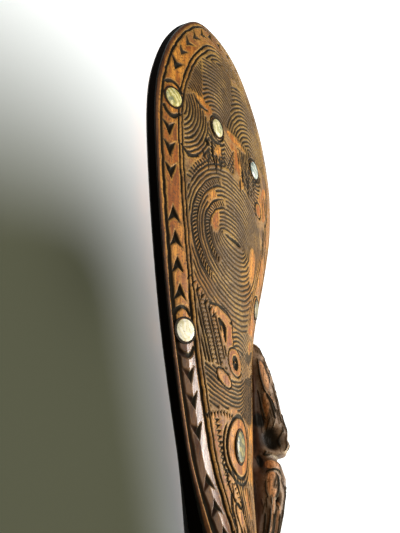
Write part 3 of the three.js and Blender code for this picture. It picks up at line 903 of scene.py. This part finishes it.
def carved_wood(name, tones):
    """Old waxed hardwood, coloured by the depth of the cut, its distance, and where hands have worn it, with
    painted shade and a partly painted sheen grey laid on from its attributes.
    """
    made, surface = new_material(name)
    tree = made.node_tree
    place = add_node(tree, "ShaderNodeTexCoord").outputs["Object"]
    along_grain = add_node(tree, "ShaderNodeMapping", {0: place, 3: (1.0, GRAIN_DRAW, 1.0)}).outputs[0]
    fibre, streak, patch, speck = (
        add_node(tree, "ShaderNodeTexNoise", {0: over, 2: per_mm / MM, 3: detail}).outputs[0]
        for over, per_mm, detail in (
            (along_grain, FIBRES_PER_MM, 3.0), (along_grain, STREAKS_PER_MM, 2.0),
            (place, PATCHES_PER_MM, 3.0), (place, SPECKS_PER_MM, 2.0),
        )
    )
    cut, plain, rim, wear, polish, black = (
        add_node(tree, "ShaderNodeAttribute", attribute_name=key).outputs["Fac"]
        for key in ("cut", "plain", "rim", "wear", "polish", "black")
    )

    bare = glaze(tree, *tones["bare"], streak, 0.35, 0.65)
    bare = glaze(tree, bare, "74381A", patch, 0.5, 0.62, most=0.45)
    bare = glaze(tree, bare, "5A3214", fibre, 0.45, 0.68, most=0.65)
    bare = glaze(tree, glaze(tree, *tones["patch"], patch, 0.42, 0.58), bare, wear, 0.15, 0.75)
    worn = glaze(tree, *tones["worn"], patch, 0.42, 0.62)
    dull = glaze(tree, *tones["dull"], patch, 0.4, 0.62)
    ridge = add_node(tree, "ShaderNodeMix", {0: wear, 6: dull, 7: worn}, data_type="RGBA").outputs[2]
    skin_colour = glaze(tree, ridge, bare, plain, 0.25, 0.9)
    mottled = glaze(tree, skin_colour, "5A3A1E", speck, 0.5, 0.66, most=0.65)
    wall = glaze(tree, mottled, "523C24", cut, 0.04 * MM, 0.22 * MM)
    cut_floor = glaze(tree, wall, "231D13", cut, 0.17 * MM, 0.5 * MM)
    dusty = glaze(tree, cut_floor, "3A3020", speck, 0.6, 0.75, most=0.3)

    # The shares and the gloss, each rising or falling between two levels
    sheen_grey_share, uncut, polished, grained = (
        add_node(
            tree, "ShaderNodeMapRange", {0: value, 1: low, 2: high, 3: least, 4: most},
            interpolation_type="SMOOTHSTEP",
        ).outputs[0]
        for value, low, high, least, most in (
            (polish, 0.0, 1.0, 0.0, 0.65), (cut, 0.1 * MM, 0.5 * MM, 1.0, 0.0),
            (polish, 0.0, 1.0, 0.5, 0.24), (fibre, 0.3, 0.7, -0.05, 0.1),
        )
    )
    # Partly painted sheen: the polished lower band is greyed, standing in for the pale cream of its sheen and
    # the dull grey of its outer half.
    sheen_grey = glaze(tree, "4C3E36", "78665A", streak, 0.4, 0.62)
    share = worked_out(tree, ("MULTIPLY", sheen_grey_share, uncut))
    waxed = add_node(tree, "ShaderNodeMix", {0: share, 6: dusty, 7: sheen_grey}, data_type="RGBA").outputs[2]
    red = glaze(tree, "30140C", "54301F", streak, 0.4, 0.6)
    # The rim attribute reddens the blade's rim and also carries painted shade on the lower band's outer facet
    # and on the figure.
    rim_red_and_painted_shade = glaze(tree, waxed, red, rim, 0.1, 0.8, most=0.9)
    # Painted shade: the black attribute turns the colour near black at the edge and in the figure's deep
    # hollows.
    painted_shade_colour = glaze(tree, rim_red_and_painted_shade, "0E0A07", black, 0.0, 1.0)
    inputs = {0: cut, 1: 0.0, 2: 0.4 * MM, 3: polished, 4: 0.8}
    gloss = add_node(tree, "ShaderNodeMapRange", inputs, interpolation_type="SMOOTHSTEP").outputs[0]
    inputs = {"Strength": 0.35, "Distance": 0.12 * MM, "Height": fibre}
    bump = add_node(tree, "ShaderNodeBump", inputs).outputs[0]
    roughness = worked_out(tree, ("ADD", gloss, grained))
    for key, value in (("Base Color", painted_shade_colour), ("Roughness", roughness), ("Normal", bump)):
        tree.links.new(value, surface.inputs[key])
    surface.inputs["Specular IOR Level"].default_value = 0.27
    return made


wood = carved_wood("dark_hardwood_carved_and_waxed", BLADE_TONES)
# The square edge is dark wood, never polished, in a flat, dull black that is partly painted shade for the
# shadow the edge lies in
edge_black_and_shade = even_finish("dark_hardwood_edge_black_painted_shade", "090605", 0.9, 0.02)


def finish_wood(piece):
    """Marks a piece as part of the one carved billet."""
    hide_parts("club_body")
    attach(piece, "root")


# Places the hand and the sheath have rubbed bright: (x, y, reach)
WORN_PLACES = [
    (30, 80, 9), (20, 62, 12), (28, 110, 7), (-34, 66, 12), (6, -8, 20), (-8, 38, 10), (0, 122, 7),
    (-28, 136, 8), (-15, -8, 11), (-30, 106, 8), (-27, 51, 8), (-14, 41, 8), (-2, -30, 14), (20, 20, 16),
    (-10, 12, 10), (10, -34, 18), (-22, 90, 9),
]


def face_tones(ribs, front=True):
    """Attributes of a face: how near the rim, how polished, how worn and how black each point is."""
    x, y = ribs[..., 0], ribs[..., 1]
    wear = np.zeros(x.shape)
    for worn_x, worn_y, reach in WORN_PLACES:
        wear = np.maximum(wear, np.exp(-((x - worn_x) ** 2 + (y - worn_y) ** 2) / reach**2))
    inward = on_grid(edge_grid, x, y)
    wear = np.maximum(wear, (1 - ease(12, 17, inward)) * (1 - 0.5 * ease(12, 34, x)))
    polish = ease(3, 4, inward) * (1 - ease(11, 12, inward)) * (1 - ease(20, 36, y)) * (x < 5)
    for place in islands:
        wear = np.maximum(wear, 1 - ease(0.9, 1.15, within(ribs.reshape(-1, 3), *place)).reshape(x.shape))
    wear = wear * (1 - 0.75 * ease(112, 150, y) * ease(-14, 12, x)) * (1 - 0.55 * ease(150, 172, y))
    # Painted shade: the worn arris on the front and a band by the edge on the back are coloured near black,
    # like the shaded edge.
    black = 1 - (ease(0.1, 0.35, inward) if front else ease(2, 5, inward))
    rim = np.maximum(1 - ease(0.8, 1.2, inward), 0.9 * (1 - ease(0.6, 2.1, inward)) * ease(70, 140, y))
    # Painted shade: the lower band's outer facet, turned away from the sheen, is darkened through the rim
    # attribute.
    outer_facet_shade = 0.5 * polish * (1 - ease(6.4, 7.2, inward))
    by_grip = ease(SEAM_Y, SEAM_Y + 14, y)
    values = {
        "rim": (rim + outer_facet_shade) * by_grip, "polish": polish * by_grip, "wear": wear, "black": black,
        "carved_face": ease(0.9, 1.5, inward) * ease(SEAM_Y + 1, SEAM_Y + 3, y),
    }
    return {key: value.ravel() for key, value in values.items()}


# The front is made in two halves, so that each keeps its fine cuts and stays a light piece
SPLIT_Y = 60.0
BACK_ACROSS = 128
upper_rows = np.concatenate([[SPLIT_Y], blade_rows[blade_rows > SPLIT_Y + 0.05]])
lower_rows = np.concatenate([blade_rows[blade_rows < SPLIT_Y - 0.05], [SPLIT_Y]])
for name, ribs in (
    ("blade_front_upper", front_ribs(upper_rows, ACROSS)),
    ("blade_front_lower", front_ribs(lower_rows, ACROSS)),
    ("blade_back", back_ribs(blade_rows, BACK_ACROSS)),
):
    vertices, faces = skin(ribs, closed=False)
    tones = face_tones(ribs, front=name != "blade_back")
    piece = mesh_object(name, vertices, faces, tones, vertices * np.array([1, 1, 0]))
    carve(piece, face_lines, margin=1.0, wander=1.2, material=wood)
    finish_wood(piece)

# The square edge round the blade, from the grip's convex side over the tip to its other side
edge_points = outline[(outline[:, 1] >= SEAM_Y - 0.5) & (np.arange(len(outline)) > 0)]
height = np.linspace(-1, 1, 12)[None, :]
half_height = (edge_thickness(edge_points[:, 1]) / 2 - ARRIS_RADIUS)[:, None]
z = middle_height(edge_points[:, 1])[:, None] + half_height * height
wall = np.stack([np.repeat(edge_points[:, :1], 12, 1), np.repeat(edge_points[:, 1:], 12, 1), z], 2)
vertices, faces = skin(wall, closed=False)
piece = mesh_object("blade_edge", vertices, faces[:, ::-1])
piece.data.materials.append(edge_black_and_shade)
finish_wood(piece)

# ---------------------------------------------------------------- the grip and the butt
# The same plank, left plain where the hand closes on it. The butt is a simple carved head with two round
# eyes, and the wrist cord's hole is bored through just above it.
front, back = front_ribs(handle_rows, 84), back_ribs(handle_rows, 84)
steps = np.linspace(0, 1, 9)[None, 1:-1, None]
right_wall = front[:, -1:] * (1 - steps) + back[:, :1] * steps
left_wall = back[:, -1:] * (1 - steps) + front[:, :1] * steps
handle = np.concatenate([front, right_wall, back, left_wall], 1)
vertices, faces = skin(handle, closed=True)
inward = on_grid(edge_grid, handle[..., 0], handle[..., 1])
butt_bold, butt_fine, butt_chips = CutLines(), CutLines(), Chips()
EYE_Y = BUTT_Y + 20
for side, seat, brow_end in ((-1, "butt_left_eye_shell", 120), (1, "butt_right_eye_shell", 205)):
    eye_x = seat_middle(seat).x
    butt_bold.add(arc((eye_x, EYE_Y), 6.3, 0, 360), 0.6, 0.8)
    butt_bold.add(arc((eye_x, EYE_Y), 8.8, 60, brow_end), 0.5, 0.7)
    for step in range(3):
        brow = curve(
            (GRIP_X + side * (1.2 + step * 2), EYE_Y + 9 + step * 1.6), (eye_x, EYE_Y + 10.4 + step * 1.5),
            (eye_x + side * 7.0, EYE_Y + 6 + step * 1.7),
        )
        butt_fine.add(brow, 0.6, 0.6)
for half_mouth, corner, middle, half, depth in ((10, 7.5, 10, 0.7, 0.9), (9, 6.5, 4.5, 0.6, 0.8)):
    left_corner, right_corner = (
        (GRIP_X + side * half_mouth, BUTT_Y + corner) for side in (-1, 1)
    )
    butt_bold.add(curve(left_corner, (GRIP_X, BUTT_Y + middle), right_corner), half, depth)
for step in range(-3, 4):
    butt_chips.add((GRIP_X + step * 2.5, BUTT_Y + 5.9), (0, -1), 2.6, 0.9, 2.0, 0.7)
for y in (GRIP_Y + 14, GRIP_Y + 16.4, SEAM_Y - 2.0, SEAM_Y - 4.4):
    butt_bold.add([(GRIP_X - 24, y), (GRIP_X + 24, y)], 0.6, 0.7)
worn = 0.5 + 0.5 * ease(GRIP_Y - 2, GRIP_Y + 26, handle[..., 1])
worn = worn * (1 - 0.6 * ease(SEAM_Y - 18, SEAM_Y, handle[..., 1]))
# Painted shade: the grip's edge just below the blade is coloured near black, as the blade's edge is.
grip_edge_shade = ease(SEAM_Y - 20, SEAM_Y - 1, handle[..., 1]) * (1 - ease(0.1, 0.8, inward))
handle_tones = {
    "wear": worn.ravel(), "carved_face": ease(1.2, 2.2, inward).ravel(), "black": grip_edge_shade.ravel(),
}
piece = mesh_object("grip_and_butt", vertices, faces, handle_tones, vertices * np.array([1, 1, 0]))
butt_lines = (
    butt_fine.as_object("butt_fine_lines"), butt_bold.as_object("butt_bold_lines"),
    butt_chips.as_object("butt_chip_lines"),
)
carve(piece, butt_lines, margin=1.0, wander=0.5, material=wood)


def close_ends(mesh, turn_out=False):
    """Closes the open ends of a tube."""
    solid = bmesh.new()
    solid.from_mesh(mesh)
    bmesh.ops.holes_fill(solid, edges=[edge for edge in solid.edges if edge.is_boundary])
    if turn_out:
        bmesh.ops.recalc_face_normals(solid, faces=solid.faces)
    solid.to_mesh(mesh)
    solid.free()


# The cord's hole is bored with a round bit once the handle's two ends are closed
close_ends(piece.data)
HOLE_Y = GRIP_Y + 4
HOLE_RADIUS = 4.5
HOLE_DARK_DEPTH = 0.6  # the bore is as dark as a cut this deep
turn = np.radians(np.arange(0, 360, 7.5))
ring = np.stack([GRIP_X + HOLE_RADIUS * np.cos(turn), HOLE_Y + HOLE_RADIUS * np.sin(turn)], 1)
levels = np.linspace(-12, 40, 40)
bit_ribs = np.concatenate([np.tile(ring, (40, 1, 1)), np.repeat(levels, len(ring)).reshape(40, -1, 1)], 2)
bit = mesh_object("bit", *skin(bit_ribs, closed=True))
close_ends(bit.data, turn_out=True)
boring = piece.modifiers.new("boring", "BOOLEAN")
boring.operation = "DIFFERENCE"
boring.solver = "EXACT"
boring.object = bit
bpy.context.view_layer.update()
bored = bpy.data.meshes.new_from_object(piece.evaluated_get(bpy.context.evaluated_depsgraph_get()))
piece.modifiers.remove(boring)
piece.data = bored
bpy.data.objects.remove(bit)
places = np.empty(len(bored.vertices) * 3)
bored.vertices.foreach_get("co", places)
places = places.reshape(-1, 3) / MM
from_hole = np.hypot(places[:, 0] - GRIP_X, places[:, 1] - HOLE_Y)
cut = np.empty(len(places))
bored.attributes["cut"].data.foreach_get("value", cut)
cut = np.maximum(cut, HOLE_DARK_DEPTH * MM * (1 - ease(HOLE_RADIUS + 0.02, HOLE_RADIUS + 0.5, from_hole)))
bored.attributes["cut"].data.foreach_set("value", cut)
finish_wood(piece)

# ---------------------------------------------------------------- the figure
# A small crouching figure carved in the round from the plank's waste at the concave edge: head and pointed
# face, bent arm and folded leg. It is the same wood, greyer, and darker away from the places hands have
# rubbed; painted shade darkens its outer side, the hollow that faces the blade and its deep places.

# Sections down the figure: place along the club, middle across and up, half width across and half height
FIGURE_SECTIONS = [
    (45.0, 34.0, 8.8, 0.4, 0.4), (44.6, 34.0, 8.8, 2.0, 2.0), (43.5, 34.2, 9.0, 3.8, 3.6),
    (38.0, 36.0, 9.2, 6.0, 5.6), (30.0, 38.5, 9.8, 7.6, 7.0), (20.0, 40.6, 10.6, 8.6, 8.0),
    (11.0, 42.0, 11.0, 9.2, 8.6), (5.0, 42.6, 11.2, 9.9, 9.7), (-1.0, 42.8, 11.2, 10.2, 9.9),
    (-4.6, 42.6, 11.0, 10.0, 9.0), (-5.6, 41.4, 10.4, 8.6, 6.6), (-7.0, 40.6, 10.2, 8.0, 6.4),
    (-9.0, 41.0, 10.6, 8.8, 7.8), (-15.0, 42.0, 11.0, 9.6, 9.0), (-22.0, 42.0, 11.0, 9.6, 8.8),
    (-30.0, 41.2, 10.8, 8.8, 8.2), (-38.0, 39.6, 10.5, 7.8, 7.4), (-48.0, 36.6, 9.8, 6.6, 6.4),
    (-55.0, 33.0, 9.2, 5.0, 4.8), (-58.4, 30.6, 9.0, 2.4, 2.4), (-59.0, 30.4, 9.0, 0.4, 0.4),
]
FIGURE_TURN = math.radians(62)  # the drawing starts at the outer shoulder and runs over the top to the blade
FIGURE_GIRTH = 10.0  # mm of drawing to one radian round the figure
BLUNT = 0.86  # squares the sections a little, as adzed


def drawn_across(degrees):
    """Drawing place round the figure, at an angle from its outer shoulder towards the blade."""
    return math.radians(degrees) * FIGURE_GIRTH


figure_rows = np.arange(-59.0, 45.01, 0.38)
around = np.linspace(0, 2 * math.pi, 210, endpoint=False)
sections = np.array(FIGURE_SECTIONS[::-1])
shape = [np.interp(figure_rows, sections[:, 0], sections[:, k])[:, None] for k in range(1, 5)]
cos_a, sin_a = np.cos(around)[None, :], np.sin(around)[None, :]
square = (np.abs(cos_a) ** (2 / BLUNT) + np.abs(sin_a) ** (2 / BLUNT)) ** (-BLUNT / 2)
turn_in = (around - FIGURE_TURN + math.pi) % (2 * math.pi) - math.pi
drawn_x, drawn_y = np.meshgrid(turn_in * FIGURE_GIRTH, figure_rows)

# Hollows and swellings: (y, degrees from the shoulder, reach along, reach round in mm, depth; below 0 swells)
FIGURE_HOLLOWS = [
    (0.9, 64, 4.8, 4.9, 5.4), (-24.5, 47, 2.4, 1.7, 4.0), (13, 92, 11, 2.6, 3.0), (-9.5, 96, 4.0, 4.2, 3.5),
    (20, 60, 2.0, 3.6, 1.0), (29.5, 62, 9.0, 3.0, -0.7), (-10.5, 62, 2.2, 6.5, -1.3),
    (-18.5, 72, 6.5, 2.6, -1.5), (5, 14, 3.0, 2.5, -0.5), (-1.5, 20, 3.0, 3.0, -0.8),
    (-14, 28, 5, 1.8, 1.2), (-36, 50, 11, 1.5, 1.6), (-42, 86, 12, 2.0, 1.8), (22, 8, 6, 2, 0.7),
]
sunk = np.zeros(drawn_x.shape)
for y, degrees, along, round_it, depth in FIGURE_HOLLOWS:
    from_middle = np.hypot((drawn_y - y) / along, (drawn_x - drawn_across(degrees)) / round_it)
    sunk += depth * np.exp(-from_middle**3)
scale = square - sunk / 9.0
x = shape[0] + shape[2] * cos_a * scale
z = shape[1] + shape[3] * sin_a * scale
ribs = np.stack([x, np.repeat(figure_rows[:, None], len(around), 1), z], 2)
vertices, faces = skin(ribs, closed=True)

# Places rubbed orange: (y, degrees, reach along, reach round in mm, lean in degrees)
FIGURE_WORN = [
    (29.0, 64, 6.6, 2.1, 0), (16.0, 77, 7.0, 1.7, -14), (19, 55, 2.6, 1.2, 10), (-10.5, 58, 2.1, 5.2, 0),
    (-18.7, 72, 6.0, 2.4, 0), (-36, 40, 12, 0.9, 0), (-34, 66, 10, 0.8, 0), (4, 6, 7, 0.9, 6),
]
figure_wear = np.zeros(drawn_x.shape)
for y, degrees, along, round_it, lean in FIGURE_WORN:
    c, s = math.cos(math.radians(lean)), math.sin(math.radians(lean))
    dx, dy = drawn_x - drawn_across(degrees), drawn_y - y
    reach = np.hypot((dy * c + dx * s) / along, (dx * c - dy * s) / round_it)
    figure_wear = np.maximum(figure_wear, 1 - ease(0.75, 1.15, reach))

# Carved in the round and handled less, so it is greyer than the blade and has no polish
figure_wood = carved_wood("dark_hardwood_carved_in_the_round_with_painted_shade", {
    "bare": ("BC7644", "F2B484"), "patch": ("66503F", "A08470"),
    "worn": ("96745A", "C09A7A"), "dull": ("624E3E", "9A7E66"),
})
figure_fine, figure_bold, figure_chips = CutLines(), CutLines(), Chips()


def figure_cut(lines, points, half, depth, taper=1.5):
    """A cut through a few points of the figure, each given as y and degrees."""
    lines.add(curve(*[(drawn_across(degrees), y) for y, degrees in points]), half, depth, taper=taper)


# Brow, cheek and jaw, then shoulder, arm and hand: (points, half width, depth)
FIGURE_GROOVES = [
    ([(37, 72), (30, 79), (23, 76), (21, 66)], 0.4, 0.6), ([(36, 52), (30, 47), (25, 50)], 0.3, 0.4),
    ([(23, 98), (17, 92), (9, 82)], 0.6, 0.9), ([(22, 69), (16, 62), (9, 57)], 0.6, 0.8),
    ([(21, 64), (17, 56), (12, 50)], 0.5, 0.7), ([(26, 36), (16, 34), (8, 32)], 0.5, 0.6),
    ([(14, 12), (8, 14), (2, 22), (-4, 28)], 0.45, 0.6), ([(8, 30), (3, 36), (-3, 40)], 0.4, 0.5),
    ([(2, 8), (-1, 12), (-4, 18)], 0.4, 0.5), ([(-4, 92), (-6, 74), (-5.6, 50)], 0.5, 0.7),
    ([(-14.5, 90), (-12.8, 72), (-12.6, 46), (-16, 34)], 0.5, 0.8),
    ([(-16.5, 87), (-21, 88), (-25, 80)], 0.35, 0.5), ([(-14, 60), (-20, 56), (-25, 60)], 0.55, 0.9),
    ([(-14, 40), (-17, 24), (-24, 18), (-34, 20)], 0.4, 0.6),
]
for points, half, depth in FIGURE_GROOVES:
    figure_cut(figure_bold, points, half, depth)
for step in range(6):
    degrees = 24 + step * 12.5
    fold = [(-28 - (step % 2) * 2, degrees), (-38, degrees - 3), (-52, degrees + 4)]
    figure_cut(figure_bold, fold, 0.5, 0.7)
for step in range(7):
    hair = [(39 - step * 0.4, 70 - step * 8), (43.4 - step * 0.1, 66 - step * 7)]
    figure_cut(figure_fine, hair, 0.5, 0.4, taper=0.6)
figure_chips.add((drawn_across(58), 19), (0.3, -1), 4.0, 0.9, 2.0, 0.8)
figure_chips.add((drawn_across(60), 41), (0.5, 1), 2.4, 0.7, 1.6, 0.5)
hand = np.random.default_rng(11)
for _ in range(80):
    y, degrees, long = hand.uniform(-54, 40), hand.uniform(6, 132), hand.uniform(4, 9)
    lean = hand.uniform(-8, 14)
    row = int(np.argmin(np.abs(figure_rows - (y - long / 2))))
    column = int(np.argmin(np.abs(drawn_x[row] - drawn_across(degrees))))
    if figure_wear[row, column] > 0.05:
        continue
    stroke = [(y, degrees), (y - long / 2, degrees + lean * 0.6), (y - long, degrees + lean)]
    figure_cut(figure_fine, stroke, hand.uniform(0.35, 0.65), 0.6, taper=1.2)

# Painted shade, near black, in the deep hollows: (y, degrees, reach)
FIGURE_PAINTED_SHADE = [(1.2, 70, 6.4), (0.6, 58, 5.2), (-24.5, 46, 2.2), (-8.6, 98, 3.4), (9, 104, 4.0)]
figure_painted_shade = np.zeros(drawn_x.shape)
for y, degrees, reach in FIGURE_PAINTED_SHADE:
    far = np.hypot(drawn_y - y, drawn_x - drawn_across(degrees))
    figure_painted_shade = np.maximum(figure_painted_shade, 0.9 * (1 - ease(0.55, 1.1, far / reach)))
# Painted shade, carried by the rim attribute: the figure is darkened a little all over for its darker wood,
# more on its outer side and most in the hollow that faces the blade, less where it is rubbed.
figure_shade = 0.16 + 0.14 * (1 - ease(3.5, 7.5, drawn_x)) + 0.5 * ease(14.5, 18.5, drawn_x)
figure_shade = figure_shade * (1 - 0.9 * figure_wear)
carved = np.repeat((ease(-58, -56, figure_rows) * ease(-44.2, -42.5, -figure_rows))[:, None], len(around), 1)
figure_tones = {
    "rim": figure_shade.ravel(), "black": figure_painted_shade.ravel(), "wear": figure_wear.ravel(),
    "carved_face": carved.ravel(),
}
figure_drawing = np.stack([drawn_x.ravel(), drawn_y.ravel(), np.zeros(len(vertices))], 1)
piece = mesh_object("small_figure", vertices, faces, figure_tones, figure_drawing)
figure_lines = (
    figure_fine.as_object("figure_fine_lines"), figure_bold.as_object("figure_bold_lines"),
    figure_chips.as_object("figure_chip_lines"),
)
carve(piece, figure_lines, margin=0.6, wander=0.6, material=figure_wood)
finish_wood(piece)
for drawn_lines in face_lines + butt_lines + figure_lines:
    bpy.data.objects.remove(drawn_lines)

# ---------------------------------------------------------------- the gum beds
# Dark plant gum, pressed warm into each round seat, holds its shell. The cups stay as built and take a dull,
# nearly black finish with a little oil left in it.
gum = even_finish("plant_gum_pressed_and_darkened", "241A11", 0.7, 0.15)
for name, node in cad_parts.items():
    if name.endswith("_gum"):
        for slot in node.material_slots:
            slot.material = gum

# ---------------------------------------------------------------- the shell inlays
# Round pieces sawn from sea shell and rubbed to low domes, held in the gum. Each takes the colours of the
# shell it was cut from: cream and yellow-green on the face, blue-grey where the layers are cut through.
LAYER_RADIANS_PER_MM = 1.5  # a new layer comes to the surface about every 4 mm
RADIANS_PER_SCALE = 10  # how far the wave pattern turns for each unit of its scale
CLOUDS_PER_MM, GRIT_PER_MM = 0.33, 1.5  # clouds about 3 mm across, grit under 1 mm


def cut_shell(name, pale, deep, shade, gloss):
    """Shell in layers: wavy bands of three colours and a soft polish."""
    made, surface = new_material(name)
    tree = made.node_tree
    place = add_node(tree, "ShaderNodeTexCoord").outputs["Object"]
    inputs = {0: place, 1: LAYER_RADIANS_PER_MM / RADIANS_PER_SCALE / MM, 2: 9.0, 3: 3.0, 4: 1.2}
    layers = add_node(tree, "ShaderNodeTexWave", inputs, bands_direction="DIAGONAL").outputs["Fac"]
    cloud = add_node(tree, "ShaderNodeTexNoise", {0: place, 2: CLOUDS_PER_MM / MM, 3: 3.0}).outputs[0]
    grit = add_node(tree, "ShaderNodeTexNoise", {0: place, 2: GRIT_PER_MM / MM, 3: 2.0}).outputs[0]
    colour = glaze(tree, deep, pale, layers, 0.3, 0.7)
    colour = glaze(tree, colour, shade, cloud, 0.5, 0.64)
    colour = glaze(tree, colour, "6B6248", grit, 0.56, 0.7, most=0.5)
    tree.links.new(colour, surface.inputs["Base Color"])
    surface.inputs["Roughness"].default_value = gloss
    surface.inputs["Specular IOR Level"].default_value = 0.5
    inputs = {"Strength": 0.5, "Distance": 0.1 * MM, "Height": cloud}
    bump = add_node(tree, "ShaderNodeBump", inputs).outputs[0]
    tree.links.new(bump, surface.inputs["Normal"])
    return made


# Each shell's pale, deep and shaded colours, and its roughness
SHELL_LOOKS = {
    "border_upper": ("EDE5AC", "B9B062", "8A9070", 0.3),
    "border_lower": ("FFFCF2", "F6EFD2", "DCD2AC", 0.35),
    "border_figure_side": ("9A8E6A", "6E6A4E", "4E5046", 0.45),
    "mask_left_eye": ("F2E9C8", "C8C494", "86967C", 0.35),
    "mask_right_eye": ("D6DCDA", "9FB0B4", "74888E", 0.3),
    "profile_head_eye": ("A99E6E", "70705A", "4E5A58", 0.36),
    "butt_left_eye": ("D8CF9E", "A3A26A", "7E8674", 0.3),
    "butt_right_eye": ("D8CF9E", "A3A26A", "7E8674", 0.3),
}
for seat, looks in SHELL_LOOKS.items():
    shell = cut_shell("sea_shell_sawn_and_rubbed_" + seat, *looks)
    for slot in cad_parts[seat + "_shell"].material_slots:
        slot.material = shell

# ---------------------------------------------------------------- the sheet and the lights
# The club lies on a plain white sheet. A window light, a small light for the sheen and a soft overhead fill
# reach the club only. The sheet has its own lamp, and two cards shade it, which no camera sees.
FAR = 4000
floor_corners = [(-FAR, -FAR, 0), (FAR, -FAR, 0), (FAR, FAR, 0), (-FAR, FAR, 0)]
floor = mesh_object("table_top", floor_corners, [(0, 1, 2, 3)])
# Uncoated paper scatters light evenly and has next to no shine
floor.data.materials.append(even_finish("white_paper_sheet", "F2F5F6", 0.9, 0.5))


def area_light(name, place, aim, size, power, colour="FFFFFF"):
    """A square soft light at a place, turned towards a point, in metres and watts."""
    lamp = bpy.data.lights.new(name, "AREA")
    lamp.shape = "RECTANGLE"
    lamp.size = lamp.size_y = size
    lamp.energy = power
    lamp.color = linear(colour)[:3]
    made = bpy.data.objects.new(name, lamp)
    made.location = place
    made.rotation_euler = (Vector(aim) - Vector(place)).to_track_quat("-Z", "Y").to_euler()
    bpy.context.scene.collection.objects.link(made)
    return made


lamps = [
    area_light("side_window", (1.1, -0.35, 0.6), (0, 0.05, 0), 0.5, 19.5, "FFF4D2"),
    area_light("sheen_light", (0.85, 0.22, 0.83), (0, 0.0, 0), 0.3, 7),
    area_light("overhead_fill", (-0.2, 0.3, 1.2), (0, 0.05, 0), 1.0, 9.5, "FFF6E6"),
]
spot = bpy.data.lights.new("paper_light", "SPOT")
spot.energy = 108
spot.spot_size = math.radians(150)
spot.spot_blend = 0.5
spot.shadow_soft_size = 0.11
paper_light = bpy.data.objects.new("paper_light", spot)
paper_light.location = (0.40, 0.62, 1.05)
bpy.context.scene.collection.objects.link(paper_light)

# A card high above shades the near side of the sheet, and a low oval one deepens the shade by the blade
HIGH_CARD = [
    (-40, 262, 370), (40, 278, 370), (80, 290, 370), (106, 290, 370), (126, 274, 370), (142, 236, 370),
    (156, 196, 370), (160, 60, 370), (-40, 60, 370),
]
LOW_MIDDLE, LOW_HEIGHT, LOW_LONG, LOW_SHORT = (-70, 57), 30, 38, 15
low_card = []
for angle in np.radians(np.arange(0, 360, 15)):
    along, across = LOW_LONG * math.cos(angle), LOW_SHORT * math.sin(angle)
    x = LOW_MIDDLE[0] - 0.64 * along + 0.77 * across
    low_card.append((x, LOW_MIDDLE[1] - 0.77 * along - 0.64 * across, LOW_HEIGHT))
cards = []
for name, corners in (("high_card", HIGH_CARD), ("low_card", low_card)):
    card = mesh_object(name, corners, [tuple(range(len(corners)))])
    card.data.materials.append(edge_black_and_shade)
    card.visible_camera = card.visible_glossy = False
    card.visible_diffuse = name == "low_card"
    cards.append(card)


def linked(name, objects, state="INCLUDE"):
    """A group of objects that a lamp lights, or is blocked by, or leaves out."""
    made = bpy.data.collections.new(name)
    for thing in objects:
        made.objects.link(thing)
    for member in made.collection_objects:
        member.light_linking.link_state = state
    return made


off_paper, no_card = linked("not_the_paper", [floor], "EXCLUDE"), linked("not_the_cards", cards, "EXCLUDE")
for lamp in lamps:
    lamp.light_linking.receiver_collection = off_paper
    lamp.light_linking.blocker_collection = no_card
paper_light.light_linking.receiver_collection = linked("only_the_paper", [floor])
paper_light.light_linking.blocker_collection = linked("only_the_high_card", cards[:1])
bpy.context.scene.view_settings.view_transform = "Standard"
world = bpy.data.worlds.new("room")
bpy.context.scene.world = world
world.use_nodes = True
world.node_tree.nodes["Background"].inputs[0].default_value = linear("F4F4C4")
world.node_tree.nodes["Background"].inputs[1].default_value = 0.13

# ---------------------------------------------------------------- the camera
# It stands beside the convex edge, turned 28 degrees up from the plank about the club's length and swung
# 23 degrees towards the grip, so that the club is upright in its view. The lens is a short telephoto.
camera = bpy.data.cameras.new("camera")
camera.lens = 64.84
camera.sensor_width = 36.0
camera.clip_start = 0.01
eye = bpy.data.objects.new("camera", camera)
turn, rise = math.radians(28), math.radians(23)
right = (math.sin(turn), 0, math.cos(turn))
upward = (-math.sin(rise) * math.cos(turn), math.cos(rise), math.sin(rise) * math.sin(turn))
back_way = (-math.cos(turn) * math.cos(rise), -math.sin(rise), math.sin(turn) * math.cos(rise))
stand = Matrix((right, upward, back_way)).transposed().to_4x4()
stand.translation = (-0.341235, -0.092728, 0.183294)
eye.matrix_world = stand
bpy.context.scene.collection.objects.link(eye)
bpy.context.scene.camera = eye
